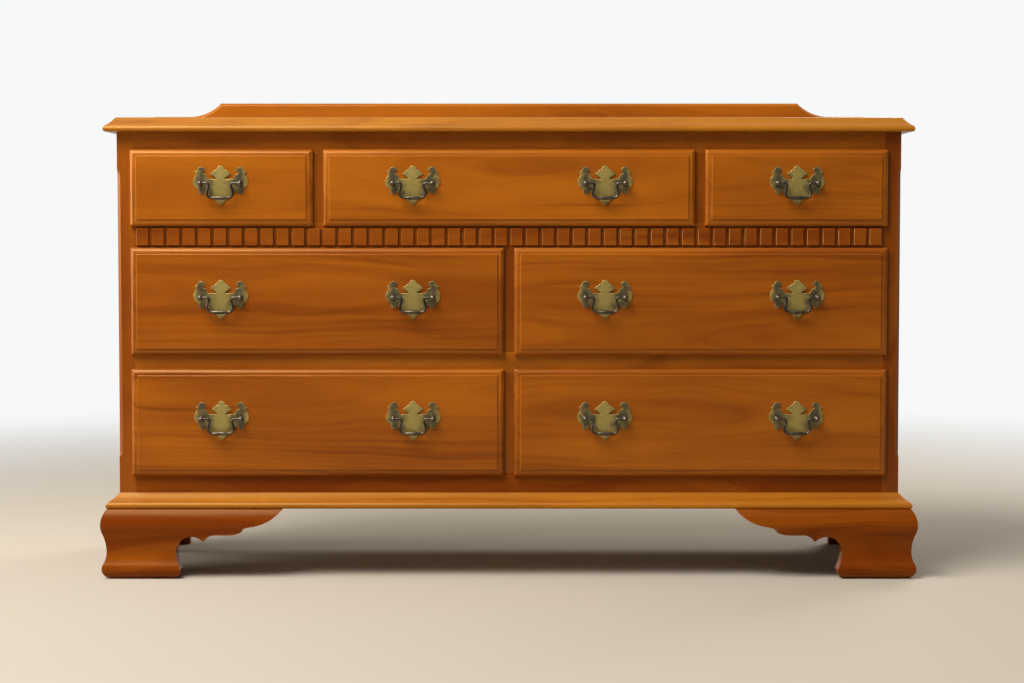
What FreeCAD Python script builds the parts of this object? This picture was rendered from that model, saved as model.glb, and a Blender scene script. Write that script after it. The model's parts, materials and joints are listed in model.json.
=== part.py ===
import FreeCAD, Part
import os
import re

import Sketcher

# A low chest of seven lipped drawers: a dentil moulding under the top row, a raised
# gallery at the back of the moulded top, ogee bracket feet and brass bail pulls.
# Millimetres. +Z is up, the drawers open towards -Y, and the origin is on the floor
# under the middle of the whole chest.

os.makedirs("parts", exist_ok=True)
doc = FreeCAD.newDocument("LowChest")

# Driving dimensions
SIZES = {
    # Case, seen from the front and from the side
    "case_width": 1480,
    "case_depth": 440,
    "side_thick": 18,
    "back_thick": 6,
    "back_rabbet": 9,
    "floor_thick": 12,
    # Front frame of stiles, rails and dividers
    "frame_thick": 22,
    "stile_width": 31,
    "divider_width": 30,
    "tenon_length": 12,
    "tenon_thick": 8,
    "tenon_shoulder": 6,
    # Heights from the floor up
    "foot_height": 133,
    "bottom_rail": 67,
    "deep_opening": 192,
    "middle_rail": 37,
    "dentil_rail": 52,
    "shallow_opening": 133,
    "top_rail": 38.5,
    "small_opening": 334,
    # Stopped chamfer on the outer corner of each stile
    "chamfer_depth": 4.2,
    "chamfer_low": 92,
    "chamfer_high": 64,
    "chamfer_stop": 15,
    # Moulded edges of the top board and of the base
    "nose_radius": 4.5,
    "knee_in": 4.2,
    "knee_high": 12,
    "top_thick": 27.5,
    "top_overhang": 22,
    "top_edge_run": 19,
    "crown_run": 4.5,
    "crown_drop": 2.2,
    "base_height": 29,
    "base_out": 23,
    # Gallery board
    "gallery_high": 52.5,
    "gallery_low": 24.5,
    "gallery_thick": 18,
    "gallery_end": 73,
    "gallery_sweep": 66,
    "gallery_ease": 5,
    # Dentil moulding
    "dentil_count": 48,
    "dentil_gap": 7,
    "dentil_end": 6,
    "dentil_high": 32,
    "dentil_thick": 8,
    "dentil_kerf": 6,
    # Ogee section of the feet, set in from their outermost plane
    "foot_out": 32,
    "foot_stock": 40,
    "foot_top_in": 11.4,
    "foot_swell_in": 3.2,
    "foot_swell_high": 86,
    "foot_waist_in": 10,
    "foot_waist_high": 51,
    "foot_toe_in": 4,
    "foot_toe_high": 28,
    "foot_sole_in": 20.6,
    # Scrolled lower edge of the feet
    "bracket_reach": 344,
    "side_gap": 20,
    "leg_width": 141,
    "leg_waist_high": 48,
    "leg_toe_out": 9,
    "leg_toe_high": 18,
    "leg_sole_in": 3,
    "cusp_reach": 193,
    "cusp_high": 70,
    "scroll_high": 83,
    "scroll_step": 6,
    "scroll_brow": 99,
    "rear_board": 60,
    "rear_board_thick": 20,
    "glue_block": 42,
    # Drawer runners and guides
    "runner_thick": 18,
    "runner_bearing": 22,
    "guide_high": 20,
    "rear_rail": 50,
    # Drawer fronts
    "lip_overlap": 5.5,
    "lip_gap": 0.5,
    "lip_edge": 6.5,
    "ovolo_run": 10,
    "bead_run": 12.5,
    "bead_step": 2.5,
    "front_proud": 16,
    "front_inset": 12,
    # Drawer boxes
    "drawer_clear": 1.5,
    "runner_clear": 0.4,
    "box_clear": 6,
    "drawer_rear_gap": 22,
    "drawer_side": 12,
    "drawer_back": 12,
    "back_set": 10,
    "back_dado": 5,
    "back_drop": 5,
    "tray_thick": 6,
    "tray_groove": 6,
    "tray_lift": 12,
    "tail_length": 10,
    "tail_flare": 2.5,
    "pin_width": 10,
    # Pulls
    "pull_spacing": 362,
    "pull_lift": 8,
    "post_spacing": 75,
    "plate_wing": 14.5,
    "plate_rise": 33,
    "plate_drop": 41,
    "plate_thick": 1.8,
    "post_axis": 12,
    "head_dia": 10,
    "neck_dia": 6,
    "collar_dia": 9,
    "collar_thick": 1.5,
    "stem_dia": 4,
    "stem_clear": 0.3,
    "stem_past": 2,
    "nut_width": 8,
    "nut_thick": 3,
    "nut_clear": 0.05,
    # Bails
    "wire_dia": 4.8,
    "pin_clear": 0.08,
    "pin_past": 1.5,
    "pin_end_gap": 0.3,
    "elbow_set": 12.5,
    "elbow_radius": 4,
    "bail_splay": 16,
    "bail_corner": 9.5,
    "bail_drop": 27.5,
    "grip_dia": 7.4,
    "grip_length": 28,
}

sheet = doc.addObject("Spreadsheet::Sheet", "Dims")
for row, (size_name, size) in enumerate(SIZES.items(), start=1):
    sheet.set("A%d" % row, size_name)
    sheet.set("B%d" % row, str(size))
    sheet.setAlias("B%d" % row, size_name)
doc.recompute()

WORD = re.compile(r"[a-z]+(?:_[a-z]+)*")
nodes = []


def formula(text):
    """Point every size named in a formula at its cell in the sheet."""
    return WORD.sub(lambda word: "Dims." + word[0] if word[0] in SIZES else word[0], text)


def value(text):
    """Work a formula out now, to draw an outline close to where its rules hold it."""
    return float(sheet.evalExpression(formula(text)))


def put(item, place):
    """Place a piece by three formulas."""
    for axis, text in zip("xyz", place):
        item.setExpression("Placement.Base." + axis, formula(text))


def turn(item, axis, degrees):
    """Turn a piece about an axis through its own origin."""
    item.Placement.Rotation = FreeCAD.Rotation(FreeCAD.Vector(*axis), degrees)


def node(item, label):
    """Name a finished piece and list it for writing."""
    item.Label = label
    nodes.append(item)
    return item


# Sketches: a corner is (across, up), or (across, up, bulge) when an arc leads to it.
# The bulge is twice the arc's height over its chord, positive to the left of travel,
# so on an outline that runs clockwise a positive arc swells and a negative one hollows.

def arc_middle(start, end, bulge):
    """The middle point of an arc."""
    chord = end - start
    left = FreeCAD.Vector(-chord.y, chord.x, 0)
    return (start + end) * 0.5 + left * (bulge / 2)


def arc_radius(start, end, bulge):
    """The radius of an arc as a formula of its two corners."""
    chord = "sqrt((({0}) - ({2}))^2 + (({1}) - ({3}))^2)".format(*start[:2], *end[:2])
    return "%s * (1 + (%s)^2) / (4 * abs(%s))" % (chord, bulge, bulge)


def sketch_on(body, name, plane):
    """An empty sketch on one of a body's own origin planes."""
    sketch = body.newObject("Sketcher::SketchObject", name)
    support = [item for item in body.Origin.OriginFeatures if item.Role == plane]
    sketch.AttachmentSupport = (support[0], [""])
    sketch.MapMode = "FlatFace"
    return sketch


def trace(sketch, corners, closed=True):
    """Draw lines and arcs through corners and hold every corner by its formulas."""
    points = [FreeCAD.Vector(value(corner[0]), value(corner[1]), 0) for corner in corners]
    spans = range(len(corners)) if closed else range(1, len(corners))
    curves = []
    for span in spans:
        start, end = points[span - 1], points[span]
        if len(corners[span]) == 3:
            bulge = value(str(corners[span][2]))
            curves.append(Part.Arc(start, arc_middle(start, end, bulge), end))
        else:
            curves.append(Part.LineSegment(start, end))
    sketch.addGeometry(curves, False)
    rules = []
    bindings = []

    def which(curve, point):
        return 1 if sketch.getPoint(curve, 1).distanceToPoint(point) < 1e-6 else 2

    def hold(curve, corner):
        point = points[corner]
        for kind, text, size in (("DistanceX", corners[corner][0], point.x),
                                 ("DistanceY", corners[corner][1], point.y)):
            bindings.append((len(rules), text))
            rules.append(Sketcher.Constraint(kind, -1, 1, curve, which(curve, point), size))

    for curve, span in enumerate(spans):
        hold(curve, span)
        after = (curve + 1) % len(curves)
        if closed or after:
            rules.append(Sketcher.Constraint("Coincident", curve, which(curve, points[span]),
                                             after, which(after, points[span])))
        if len(corners[span]) == 3:
            text = arc_radius(corners[span - 1], corners[span], corners[span][2])
            bindings.append((len(rules), text))
            rules.append(Sketcher.Constraint("Radius", curve, value(text)))
    if not closed:
        hold(0, 0)
    sketch.addConstraint(rules)
    for place, text in bindings:
        sketch.setExpression("Constraints[%d]" % place, formula(text))


def ring(sketch, diameter):
    """Draw one circle about the sketch's origin."""
    size = value(diameter)
    sketch.addGeometry(Part.Circle(FreeCAD.Vector(), FreeCAD.Vector(0, 0, 1), size / 2), False)
    sketch.addConstraint([Sketcher.Constraint("Coincident", 0, 3, -1, 1),
                          Sketcher.Constraint("Diameter", 0, size)])
    sketch.setExpression("Constraints[1]", formula(diameter))


def prism(name, plane, corners, length, place=("0", "0", "0")):
    """Pad an outline towards the positive side of its plane."""
    body = doc.addObject("PartDesign::Body", name)
    sketch = sketch_on(body, name + "_outline", plane)
    trace(sketch, corners)
    pad = body.newObject("PartDesign::Pad", name + "_pad")
    pad.Profile = sketch
    pad.Reversed = plane == "XZ_Plane"
    pad.setExpression("Length", formula(length))
    put(body, place)
    return body


def board(name, corner, size):
    """A squared board from its lowest corner and its three sizes."""
    box = doc.addObject("Part::Box", name)
    for side, text in zip(("Length", "Width", "Height"), size):
        box.setExpression(side, formula(text))
    put(box, corner)
    return box


def pair(kind, name, base, tool):
    """A boolean of two pieces: Cut, Fuse or Common."""
    result = doc.addObject("Part::" + kind, name)
    result.Base = base
    result.Tool = tool
    return result


def cut(name, base, tools):
    """Cut several tools from a piece, one after the other."""
    for count, tool in enumerate(tools):
        base = pair("Cut", "%s_%d" % (name, count), base, tool)
    return base


def group(name, pieces):
    """Separate solids that share one node."""
    result = doc.addObject("Part::Compound", name)
    result.Links = pieces
    return result


def copy_of(name, master, place):
    """A placed copy of a piece that is made once."""
    link = doc.addObject("App::Link", name)
    link.LinkedObject = master
    put(link, place)
    return link


def mirror(name, source, normal=(1, 0, 0)):
    """The other hand of a piece, across a plane through the origin."""
    result = doc.addObject("Part::Mirroring", name)
    result.Source = source
    result.Normal = normal
    return result


def both_sides(half):
    """Carry the left half of a clockwise outline, run upwards, round to its right half."""
    right = []
    for here, after in zip(half[:-1], half[1:]):
        right.insert(0, ("-(%s)" % here[0], here[1]) + tuple(after[2:]))
    right.insert(0, ("-(%s)" % half[-1][0], half[-1][1]))
    return half + right


# Main planes of the chest, as formulas
PULL_REACH = "(front_proud + plate_thick + post_axis + head_dia / 2)"
FACE = "((%s - case_depth) / 2)" % PULL_REACH
BEHIND_FRAME = "(%s + frame_thick)" % FACE
BACK = "(%s + case_depth)" % FACE
BACK_INNER = "(%s - back_thick)" % BACK
HALF = "(case_width / 2)"
STILE_EDGE = "(%s - stile_width)" % HALF
SIDE_INNER = "(%s - side_thick)" % HALF
CENTRE_EDGE = "(%s - small_opening - divider_width)" % STILE_EDGE
LOW_ROW = "(foot_height + bottom_rail)"
MIDDLE_ROW = "(%s + deep_opening + middle_rail)" % LOW_ROW
TOP_ROW = "(%s + deep_opening + dentil_rail)" % MIDDLE_ROW
CASE_TOP = "(%s + shallow_opening + top_rail)" % TOP_ROW
CASE_HIGH = "(%s - foot_height)" % CASE_TOP
DEPTH_INSIDE = "(case_depth - frame_thick - back_thick)"
SIDE_REACH = "((case_depth + foot_out - side_gap) / 2)"
DRAWER_DEPTH = "(case_depth - back_thick - front_inset - drawer_rear_gap)"


def make_dividers():
    """Uprights between the drawers, with stub tenons into the rails."""
    spots = (("top_left_divider", "-%s - divider_width" % CENTRE_EDGE, TOP_ROW, "shallow_opening"),
             ("top_right_divider", CENTRE_EDGE, TOP_ROW, "shallow_opening"),
             ("middle_divider", "-divider_width / 2", MIDDLE_ROW, "deep_opening"),
             ("low_divider", "-divider_width / 2", LOW_ROW, "deep_opening"))
    uprights = []
    for name, left, low, high in spots:
        stock = board(name + "_stock", (left, FACE, low), ("divider_width", "frame_thick", high))
        tenon = board(name + "_tenon",
                      ("%s + tenon_shoulder" % left,
                       "%s + (frame_thick - tenon_thick) / 2" % FACE,
                       "%s - tenon_length" % low),
                      ("divider_width - 2 * tenon_shoulder", "tenon_thick",
                       "%s + 2 * tenon_length" % high))
        uprights.append(pair("Fuse", name, stock, tenon))
    node(group("dividers", uprights), "drawer_dividers")
    return uprights


def make_rail(name, low, high, uprights):
    """A front rail, tenoned into both stiles and mortised for the dividers."""
    stock = board(name + "_stock", ("-" + STILE_EDGE, FACE, low),
                  ("2 * " + STILE_EDGE, "frame_thick", high))
    tenon = board(name + "_tenon",
                  ("-%s - tenon_length" % STILE_EDGE,
                   "%s + (frame_thick - tenon_thick) / 2" % FACE,
                   "%s + tenon_shoulder" % low),
                  ("2 * (%s + tenon_length)" % STILE_EDGE, "tenon_thick",
                   "%s - 2 * tenon_shoulder" % high))
    rail = pair("Fuse", name + "_whole", stock, tenon)
    return node(cut(name + "_mortised", rail, uprights), name)


def make_stiles(rails):
    """Corner posts of the front frame, with a chamfer that stops in a curl at both ends."""
    stock = board("stile_stock", ("-" + HALF, FACE, "foot_height"),
                  ("stile_width", "frame_thick", CASE_HIGH))
    low = "(foot_height + chamfer_low)"
    high = "(%s - chamfer_high)" % CASE_TOP
    outline = [("-chamfer_depth", low),
               ("-chamfer_depth", high),
               ("0", high),
               ("chamfer_depth / 2", high + " - chamfer_stop / 2", -0.147),
               ("chamfer_depth", high + " - chamfer_stop", 0.147),
               ("chamfer_depth", low + " + chamfer_stop"),
               ("chamfer_depth / 2", low + " + chamfer_stop / 2", 0.147),
               ("0", low, -0.147)]
    reach = "3 * chamfer_depth"
    chamfer = prism("stile_chamfer", "XZ_Plane", outline, "2 * " + reach,
                    ("-%s + %s * sin(45)" % (HALF, reach), "%s - %s * cos(45)" % (FACE, reach), "0"))
    turn(chamfer, (0, 0, 1), 45)
    left = node(cut("stile", stock, [chamfer] + rails), "left_stile")
    node(mirror("stile_right", left), "right_stile")


def make_case_boards():
    """Sides rabbeted for the back, the thin back itself and the floor of the case."""
    width = "2 * (%s + back_rabbet)" % SIDE_INNER
    back = board("back", ("-%s - back_rabbet" % SIDE_INNER, BACK_INNER, "foot_height"),
                 (width, "back_thick", CASE_HIGH))
    stock = board("side_stock", ("-" + HALF, BEHIND_FRAME, "foot_height"),
                  ("side_thick", "case_depth - frame_thick", CASE_HIGH))
    left = node(cut("side", stock, [back]), "left_side")
    node(mirror("side_right", left), "right_side")
    node(back, "back_panel")
    floor = board("floor", ("-" + SIDE_INNER, BEHIND_FRAME, "foot_height"),
                  ("2 * " + SIDE_INNER, DEPTH_INSIDE, "floor_thick"))
    node(floor, "bottom_panel")


def make_runners():
    """Web frames that carry the drawers: runners, the guides on them and rear rails."""
    pieces = []
    long_run = "(%s - rear_rail)" % DEPTH_INSIDE
    centre = "(-divider_width / 2)"
    rows = (("low", LOW_ROW, (centre,)),
            ("middle", MIDDLE_ROW, (centre,)),
            ("top", TOP_ROW, ("(-%s - divider_width)" % CENTRE_EDGE, CENTRE_EDGE)))
    for row_name, level, uprights in rows:
        under = "%s - runner_thick" % level
        rear = board(row_name + "_rear_rail", ("-" + SIDE_INNER, BACK_INNER + " - rear_rail", under),
                     ("2 * " + SIDE_INNER, "rear_rail", "runner_thick"))
        runner = board(row_name + "_side_runner", ("-" + SIDE_INNER, BEHIND_FRAME, under),
                       ("%s - %s + runner_bearing" % (SIDE_INNER, STILE_EDGE), long_run,
                        "runner_thick"))
        guide = board(row_name + "_side_guide", ("-" + SIDE_INNER, BEHIND_FRAME, level),
                      ("%s - %s" % (SIDE_INNER, STILE_EDGE), DEPTH_INSIDE, "guide_high"))
        pieces += [rear, runner, guide]
        pieces += [mirror(row_name + "_right_runner", runner), mirror(row_name + "_right_guide", guide)]
        for count, left in enumerate(uprights):
            tag = "%s_centre_%d" % (row_name, count)
            pieces.append(board(tag + "_runner", (left + " - runner_bearing", BEHIND_FRAME, under),
                                ("divider_width + 2 * runner_bearing", long_run, "runner_thick")))
            pieces.append(board(tag + "_guide", (left, BEHIND_FRAME, level),
                                ("divider_width", DEPTH_INSIDE, "guide_high")))
    node(group("runners", pieces), "drawer_runners")


def moulded_edge(nose, low, inner, top_run, top_high):
    """A moulded edge from the underside up: round nose, knee and a shallow hollow."""
    return [(inner, low),
            (nose + " + nose_radius", low),
            (nose, low + " + nose_radius", 0.414),
            (nose + " + knee_in", low + " + knee_high", 0.261),
            (top_run, top_high, -0.09)]


def make_top():
    """The top board, moulded along its front and both ends with mitred corners."""
    low = CASE_TOP
    crown = "%s + top_thick - crown_drop" % low
    high = "%s + top_thick" % low
    front = "(%s - top_overhang)" % FACE
    across = moulded_edge(front, low, BACK, front + " + top_edge_run", crown)
    across.append((front + " + top_edge_run + crown_run", high, 0.23))
    across.append((BACK, high))
    end = "(-%s - top_overhang)" % HALF
    half = moulded_edge(end, low, "-side_thick", end + " + top_edge_run", crown)
    half.append((end + " + top_edge_run + crown_run", high, 0.23))
    whole = both_sides(half[1:])
    along = prism("top_along", "YZ_Plane", across, "case_width + 4 * top_overhang",
                  (end + " - top_overhang", "0", "0"))
    through = prism("top_through", "XZ_Plane", whole, "case_depth + 3 * top_overhang",
                    ("0", front + " - top_overhang", "0"))
    node(pair("Common", "top", along, through), "top_board")


def make_gallery():
    """The gallery board: raised in the middle and swept down to low ends."""
    level_start = "-tan(atan((gallery_high - gallery_low) / gallery_sweep) / 2)"
    half = [("-" + HALF, "0"),
            ("-" + HALF, "gallery_low"),
            ("-%s + gallery_end" % HALF, "gallery_low"),
            ("-%s + gallery_end + gallery_sweep" % HALF, "gallery_high", level_start)]
    body = prism("gallery", "XZ_Plane", both_sides(half), "gallery_thick",
                 ("0", BACK + " - gallery_thick", CASE_TOP + " + top_thick"))
    doc.recompute()
    pad = body.Tip
    upper = []
    for count, edge in enumerate(pad.Shape.Edges, start=1):
        box = edge.BoundBox
        on_front = abs(box.YMax - pad.Shape.BoundBox.YMin) < 1e-6
        if on_front and box.ZMax > 1e-6 and box.XLength > 1e-6:
            upper.append("Edge%d" % count)
    eased = body.newObject("PartDesign::Chamfer", "gallery_eased")
    eased.Base = (pad, upper)
    eased.setExpression("Size", formula("gallery_ease"))
    body.Tip = eased
    node(body, "gallery_board")


def make_dentils():
    """The dentil moulding: one strip, kerfed into teeth."""
    length = "(2 * (%s - dentil_end))" % STILE_EDGE
    pitch = "((%s + dentil_gap) / dentil_count)" % length
    middle = "(%s - dentil_rail / 2)" % TOP_ROW
    low = "(-dentil_high / 2)"
    high = "(dentil_high / 2)"
    left = "(-%s / 2)" % length
    body = prism("dentil", "XZ_Plane",
                 [(left, low), (left, high), ("-" + left, high), ("-" + left, low)],
                 "dentil_thick", ("0", FACE + " - dentil_thick", middle))
    kerf_left = "(%s + %s - dentil_gap)" % (left, pitch)
    kerf_right = "(%s + %s)" % (left, pitch)
    sketch = sketch_on(body, "kerf_outline", "XZ_Plane")
    trace(sketch, [(kerf_left, low), (kerf_left, high), (kerf_right, high), (kerf_right, low)])
    kerf = body.newObject("PartDesign::Pocket", "kerf")
    kerf.Profile = sketch
    kerf.setExpression("Length", formula("dentil_kerf"))
    body.Tip = kerf
    doc.recompute()
    teeth = body.newObject("PartDesign::LinearPattern", "teeth")
    teeth.Originals = [kerf]
    teeth.Direction = (sketch, ["H_Axis"])
    teeth.setExpression("Length", formula("%s * (dentil_count - 2)" % pitch))
    teeth.setExpression("Occurrences", formula("dentil_count - 1"))
    body.Tip = teeth
    node(body, "dentil_moulding")


def make_base_moulding():
    """Base moulding in three lengths, mitred at the front corners."""
    front = "(%s - base_out)" % FACE
    end = "(-%s - base_out)" % HALF
    high = "foot_height + base_height"
    profile = moulded_edge(front, "foot_height", FACE, FACE, high)
    strip = prism("base_front_strip", "YZ_Plane", profile, "case_width + 2 * base_out", (end, "0", "0"))
    keep = prism("base_front_mitre", "XY_Plane",
                 [(end, front), ("-" + HALF, FACE), (HALF, FACE), ("-" + end, front)], high)
    front_length = pair("Common", "base_front", strip, keep)
    profile = moulded_edge(end, "foot_height", "-" + HALF, "-" + HALF, high)
    strip = prism("base_side_strip", "XZ_Plane", profile, "case_depth + base_out", ("0", front, "0"))
    keep = prism("base_side_mitre", "XY_Plane",
                 [(end, front), (end, BACK), ("-" + HALF, BACK), ("-" + HALF, FACE)], high)
    left_length = pair("Common", "base_left", strip, keep)
    right_length = mirror("base_right", left_length)
    node(group("base", [front_length, left_length, right_length]), "base_moulding")


def foot_section():
    """Section of a foot bracket from its back to its ogee face, set in from the outermost plane."""
    return [("foot_stock", "0"),
            ("foot_sole_in", "0"),
            ("foot_toe_in", "foot_toe_high", 0.573),
            ("foot_waist_in", "foot_waist_high", -0.129),
            ("foot_swell_in", "foot_swell_high", -0.095),
            ("foot_top_in", "foot_height", 0.284),
            ("foot_stock", "foot_height")]


def leg_scroll():
    """Lower edge from the cusp round the arch and down the leg to the sole."""
    return [("leg_width", "leg_waist_high", -0.72),
            ("leg_width + leg_toe_out", "leg_toe_high", -0.08),
            ("leg_width - leg_sole_in", "0", 0.3)]


def front_scroll():
    """Face outline of a front bracket, with its long tail beyond the cusp."""
    tail = "(bracket_reach - cusp_reach)"
    brow = "cusp_reach + 0.59 * " + tail
    step = "cusp_reach + 0.48 * " + tail
    return [("0", "0"),
            ("0", "foot_height"),
            ("bracket_reach", "foot_height"),
            (brow, "scroll_brow", 0.2),
            (step, "scroll_high + 2 * scroll_step"),
            (step, "scroll_high + scroll_step"),
            ("cusp_reach + 0.32 * " + tail, "scroll_high", 0.12),
            ("cusp_reach + 0.18 * " + tail, "scroll_high"),
            ("cusp_reach", "cusp_high", -0.3)] + leg_scroll()


def side_scroll():
    """Face outline of a side bracket: the same leg with a short hollow tail."""
    return [("0", "0"),
            ("0", "foot_height"),
            (SIDE_REACH, "foot_height"),
            ("cusp_reach", "cusp_high", -0.25)] + leg_scroll()


def bracket(name, scroll, reach, mitred):
    """A foot bracket with its outer corner at the origin, running along +X."""
    section = prism(name + "_section", "YZ_Plane", foot_section(), reach + " + 2 * foot_stock",
                    ("-foot_stock", "0", "0"))
    face = prism(name + "_face", "XZ_Plane", scroll, "3 * foot_stock", ("0", "-foot_stock", "0"))
    piece = pair("Common", name + "_blank", section, face)
    if mitred:
        far = reach + " + foot_stock"
        keep = prism(name + "_mitre", "XY_Plane",
                     [("-foot_stock", "-foot_stock"), (far, far), (far, "-foot_stock")], "foot_height")
        piece = pair("Common", name + "_mitred", piece, keep)
    return piece


def make_feet():
    """Four ogee bracket feet, each of two brackets and a glue block in their corner."""
    left = "(-%s - foot_out)" % HALF
    front = "(%s - foot_out)" % FACE
    inner_x = left + " + foot_stock"
    corner = (left, front, "0")
    long_master = bracket("front_bracket", front_scroll(), "bracket_reach", True)
    side_master = bracket("side_bracket", side_scroll(), SIDE_REACH, True)
    rear_master = bracket("rear_bracket", side_scroll(), SIDE_REACH, False)
    front_piece = copy_of("front_foot_front", long_master, corner)
    side_piece = copy_of("front_foot_side", mirror("side_bracket_turned", side_master, (1, -1, 0)),
                         corner)
    block_size = ("glue_block", "glue_block", "foot_height")
    block = board("front_foot_block", (inner_x, front + " + foot_stock", "0"), block_size)
    front_left = node(group("front_foot", [front_piece, side_piece, block]), "front_left_foot")
    node(mirror("front_foot_right", front_left), "front_right_foot")
    rear_piece = copy_of("rear_foot_side", rear_master, (left, BACK, "0"))
    turn(rear_piece, (0, 0, 1), -90)
    rear_board = board("rear_foot_board", (inner_x, BACK + " - rear_board_thick", "0"),
                       ("rear_board", "rear_board_thick", "foot_height"))
    rear_block = board("rear_foot_block", (inner_x, BACK + " - rear_board_thick - glue_block", "0"),
                       block_size)
    rear_left = node(group("rear_foot", [rear_piece, rear_board, rear_block]), "rear_left_foot")
    node(mirror("rear_foot_right", rear_left), "rear_right_foot")


# Pulls

PLATE_EDGE = [  # left half from the pendant point up: shares of half width and of rise or drop
    (0, -1),
    (-0.155, -0.81, 0.1),
    (-0.185, -0.755, 0.2),
    (-0.26, -0.735, -0.2),
    (-0.47, -0.43, 0.12),
    (-0.585, -0.345, -0.15),
    (-0.60, -0.43, -0.1),
    (-0.80, -0.355, 0.8),
    (-0.81, -0.275),
    (-0.895, 0.44, 0.55),
    (-0.935, 0.665, -0.25),
    (-0.84, 0.745, -0.2),
    (-0.565, 0.72, 0.95),
    (-0.655, 0.63, 0.25),
    (-0.545, 0.515, -0.5),
    (-0.44, 0.24, -0.1),
    (-0.20, 0.225, 0.08),
    (-0.155, 0.29, -0.5),
    (-0.365, 0.50, -0.08),
    (-0.26, 0.64, 0.45),
    (-0.145, 0.77, 0.45),
    (0, 1, 0.4),
]


def plate_corners():
    """The whole plate edge from its left half."""
    half = []
    for across, up, *bulge in PLATE_EDGE:
        side = "%g * (post_spacing / 2 + plate_wing)" % across
        level = "%g * %s" % (abs(up), "plate_rise" if up > 0 else "-plate_drop")
        half.append((side, level) + tuple(bulge))
    whole = both_sides(half)
    middle = len(half)
    bottom = whole.pop()
    del whole[middle]
    whole[0] = bottom
    return whole


def make_plate():
    """A fretted back plate with a hole for each post."""
    blank = prism("plate_blank", "XZ_Plane", plate_corners(), "plate_thick")
    holes = []
    for side, sign in (("left", "-"), ("right", "")):
        hole = doc.addObject("Part::Cylinder", "plate_hole_" + side)
        hole.setExpression("Radius", formula("stem_dia / 2 + stem_clear"))
        hole.setExpression("Height", formula("2 * plate_thick"))
        put(hole, (sign + "post_spacing / 2", "-plate_thick / 2", "0"))
        turn(hole, (1, 0, 0), -90)
        holes.append(hole)
    return cut("plate", blank, holes)


def make_post():
    """A turned post: ball head, neck, collar on the plate and a stem through the front."""
    body = doc.addObject("PartDesign::Body", "post_turned")
    sketch = sketch_on(body, "post_outline", "XY_Plane")
    stem_end = "plate_thick + front_proud + front_inset + nut_thick + stem_past"
    throat = "-post_axis + sqrt((head_dia / 2)^2 - (neck_dia / 2)^2)"
    trace(sketch, [("0", stem_end),
                   ("0", "-post_axis - head_dia / 2"),
                   ("neck_dia / 2", throat, "-tan((180 deg - asin(neck_dia / head_dia)) / 4)"),
                   ("neck_dia / 2", "-collar_thick"),
                   ("collar_dia / 2", "-collar_thick"),
                   ("collar_dia / 2", "0"),
                   ("stem_dia / 2", "0"),
                   ("stem_dia / 2", stem_end)])
    turned = body.newObject("PartDesign::Revolution", "post_revolution")
    turned.Profile = sketch
    turned.ReferenceAxis = (sketch, ["V_Axis"])
    turned.Angle = 360
    body.Tip = turned
    hole = doc.addObject("Part::Cylinder", "post_hole")
    hole.setExpression("Radius", formula("wire_dia / 2 + pin_clear"))
    hole.setExpression("Height", formula("head_dia + pin_past"))
    put(hole, ("-pin_past", "-post_axis", "0"))
    turn(hole, (0, 1, 0), 90)
    return cut("post", body, [hole])


def make_nut():
    """A square nut that draws a post up from inside the drawer."""
    half = "nut_width / 2"
    blank = prism("nut_blank", "XZ_Plane",
                  [("-" + half, "-" + half), ("-" + half, half), (half, half), (half, "-" + half)],
                  "nut_thick")
    hole = doc.addObject("Part::Cylinder", "nut_hole")
    hole.setExpression("Radius", formula("stem_dia / 2 + nut_clear"))
    hole.setExpression("Height", formula("2 * nut_thick"))
    put(hole, ("0", "-nut_thick / 2", "0"))
    turn(hole, (1, 0, 0), -90)
    return cut("nut", blank, [hole])


def make_stem_hole():
    """The hole that a post needs through a drawer front."""
    hole = doc.addObject("Part::Cylinder", "stem_hole")
    hole.setExpression("Radius", formula("stem_dia / 2 + stem_clear"))
    hole.setExpression("Height", formula("front_proud + front_inset + 2 * plate_thick"))
    return hole


def bail_path():
    """Left half of a bail from its pin to the end of its grip's corner."""
    curl = "(1 + sin(bail_splay))"
    leg_drop = "(bail_drop - (elbow_radius + bail_corner) * %s)" % curl
    elbow_start = "(post_spacing / 2 - elbow_set)"
    elbow_end = "(%s - elbow_radius * cos(bail_splay))" % elbow_start
    leg_end = "(%s + %s * tan(bail_splay))" % (elbow_end, leg_drop)
    bend = "tan((90 + bail_splay) / 4)"
    return [("-(post_spacing / 2 + pin_past - pin_end_gap)", "0"),
            ("-" + elbow_start, "0"),
            ("-" + elbow_end, "-elbow_radius * " + curl, bend),
            ("-" + leg_end, "-elbow_radius * %s - %s" % (curl, leg_drop)),
            ("-(%s - bail_corner * cos(bail_splay))" % leg_end, "-bail_drop", "-" + bend)]


def make_bail():
    """A bail bent from wire, with pins that turn in the posts and a swelled grip."""
    body = doc.addObject("PartDesign::Body", "bail")
    path = sketch_on(body, "bail_path", "XZ_Plane")
    trace(path, both_sides(bail_path()), closed=False)
    wire = sketch_on(body, "bail_wire", "YZ_Plane")
    wire.setExpression("AttachmentOffset.Base.z",
                       formula("-(post_spacing / 2 + pin_past - pin_end_gap)"))
    ring(wire, "wire_dia")
    pipe = body.newObject("PartDesign::AdditivePipe", "bail_pipe")
    pipe.Profile = wire
    pipe.Spine = path
    body.Tip = pipe
    grip = sketch_on(body, "grip_outline", "XZ_Plane")
    grip.setExpression("AttachmentOffset.Base.y", formula("-bail_drop"))
    trace(grip, [("-grip_length / 2", "0"),
                 ("-grip_length / 2", "wire_dia / 2"),
                 ("grip_length / 2", "wire_dia / 2", "(grip_dia - wire_dia) / grip_length"),
                 ("grip_length / 2", "0")])
    swell = body.newObject("PartDesign::Revolution", "bail_grip")
    swell.Profile = grip
    swell.ReferenceAxis = (grip, ["H_Axis"])
    swell.Angle = 360
    body.Tip = swell
    return body


plate = make_plate()
post = make_post()
nut = make_nut()
stem_hole = make_stem_hole()
bail = make_bail()


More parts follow.
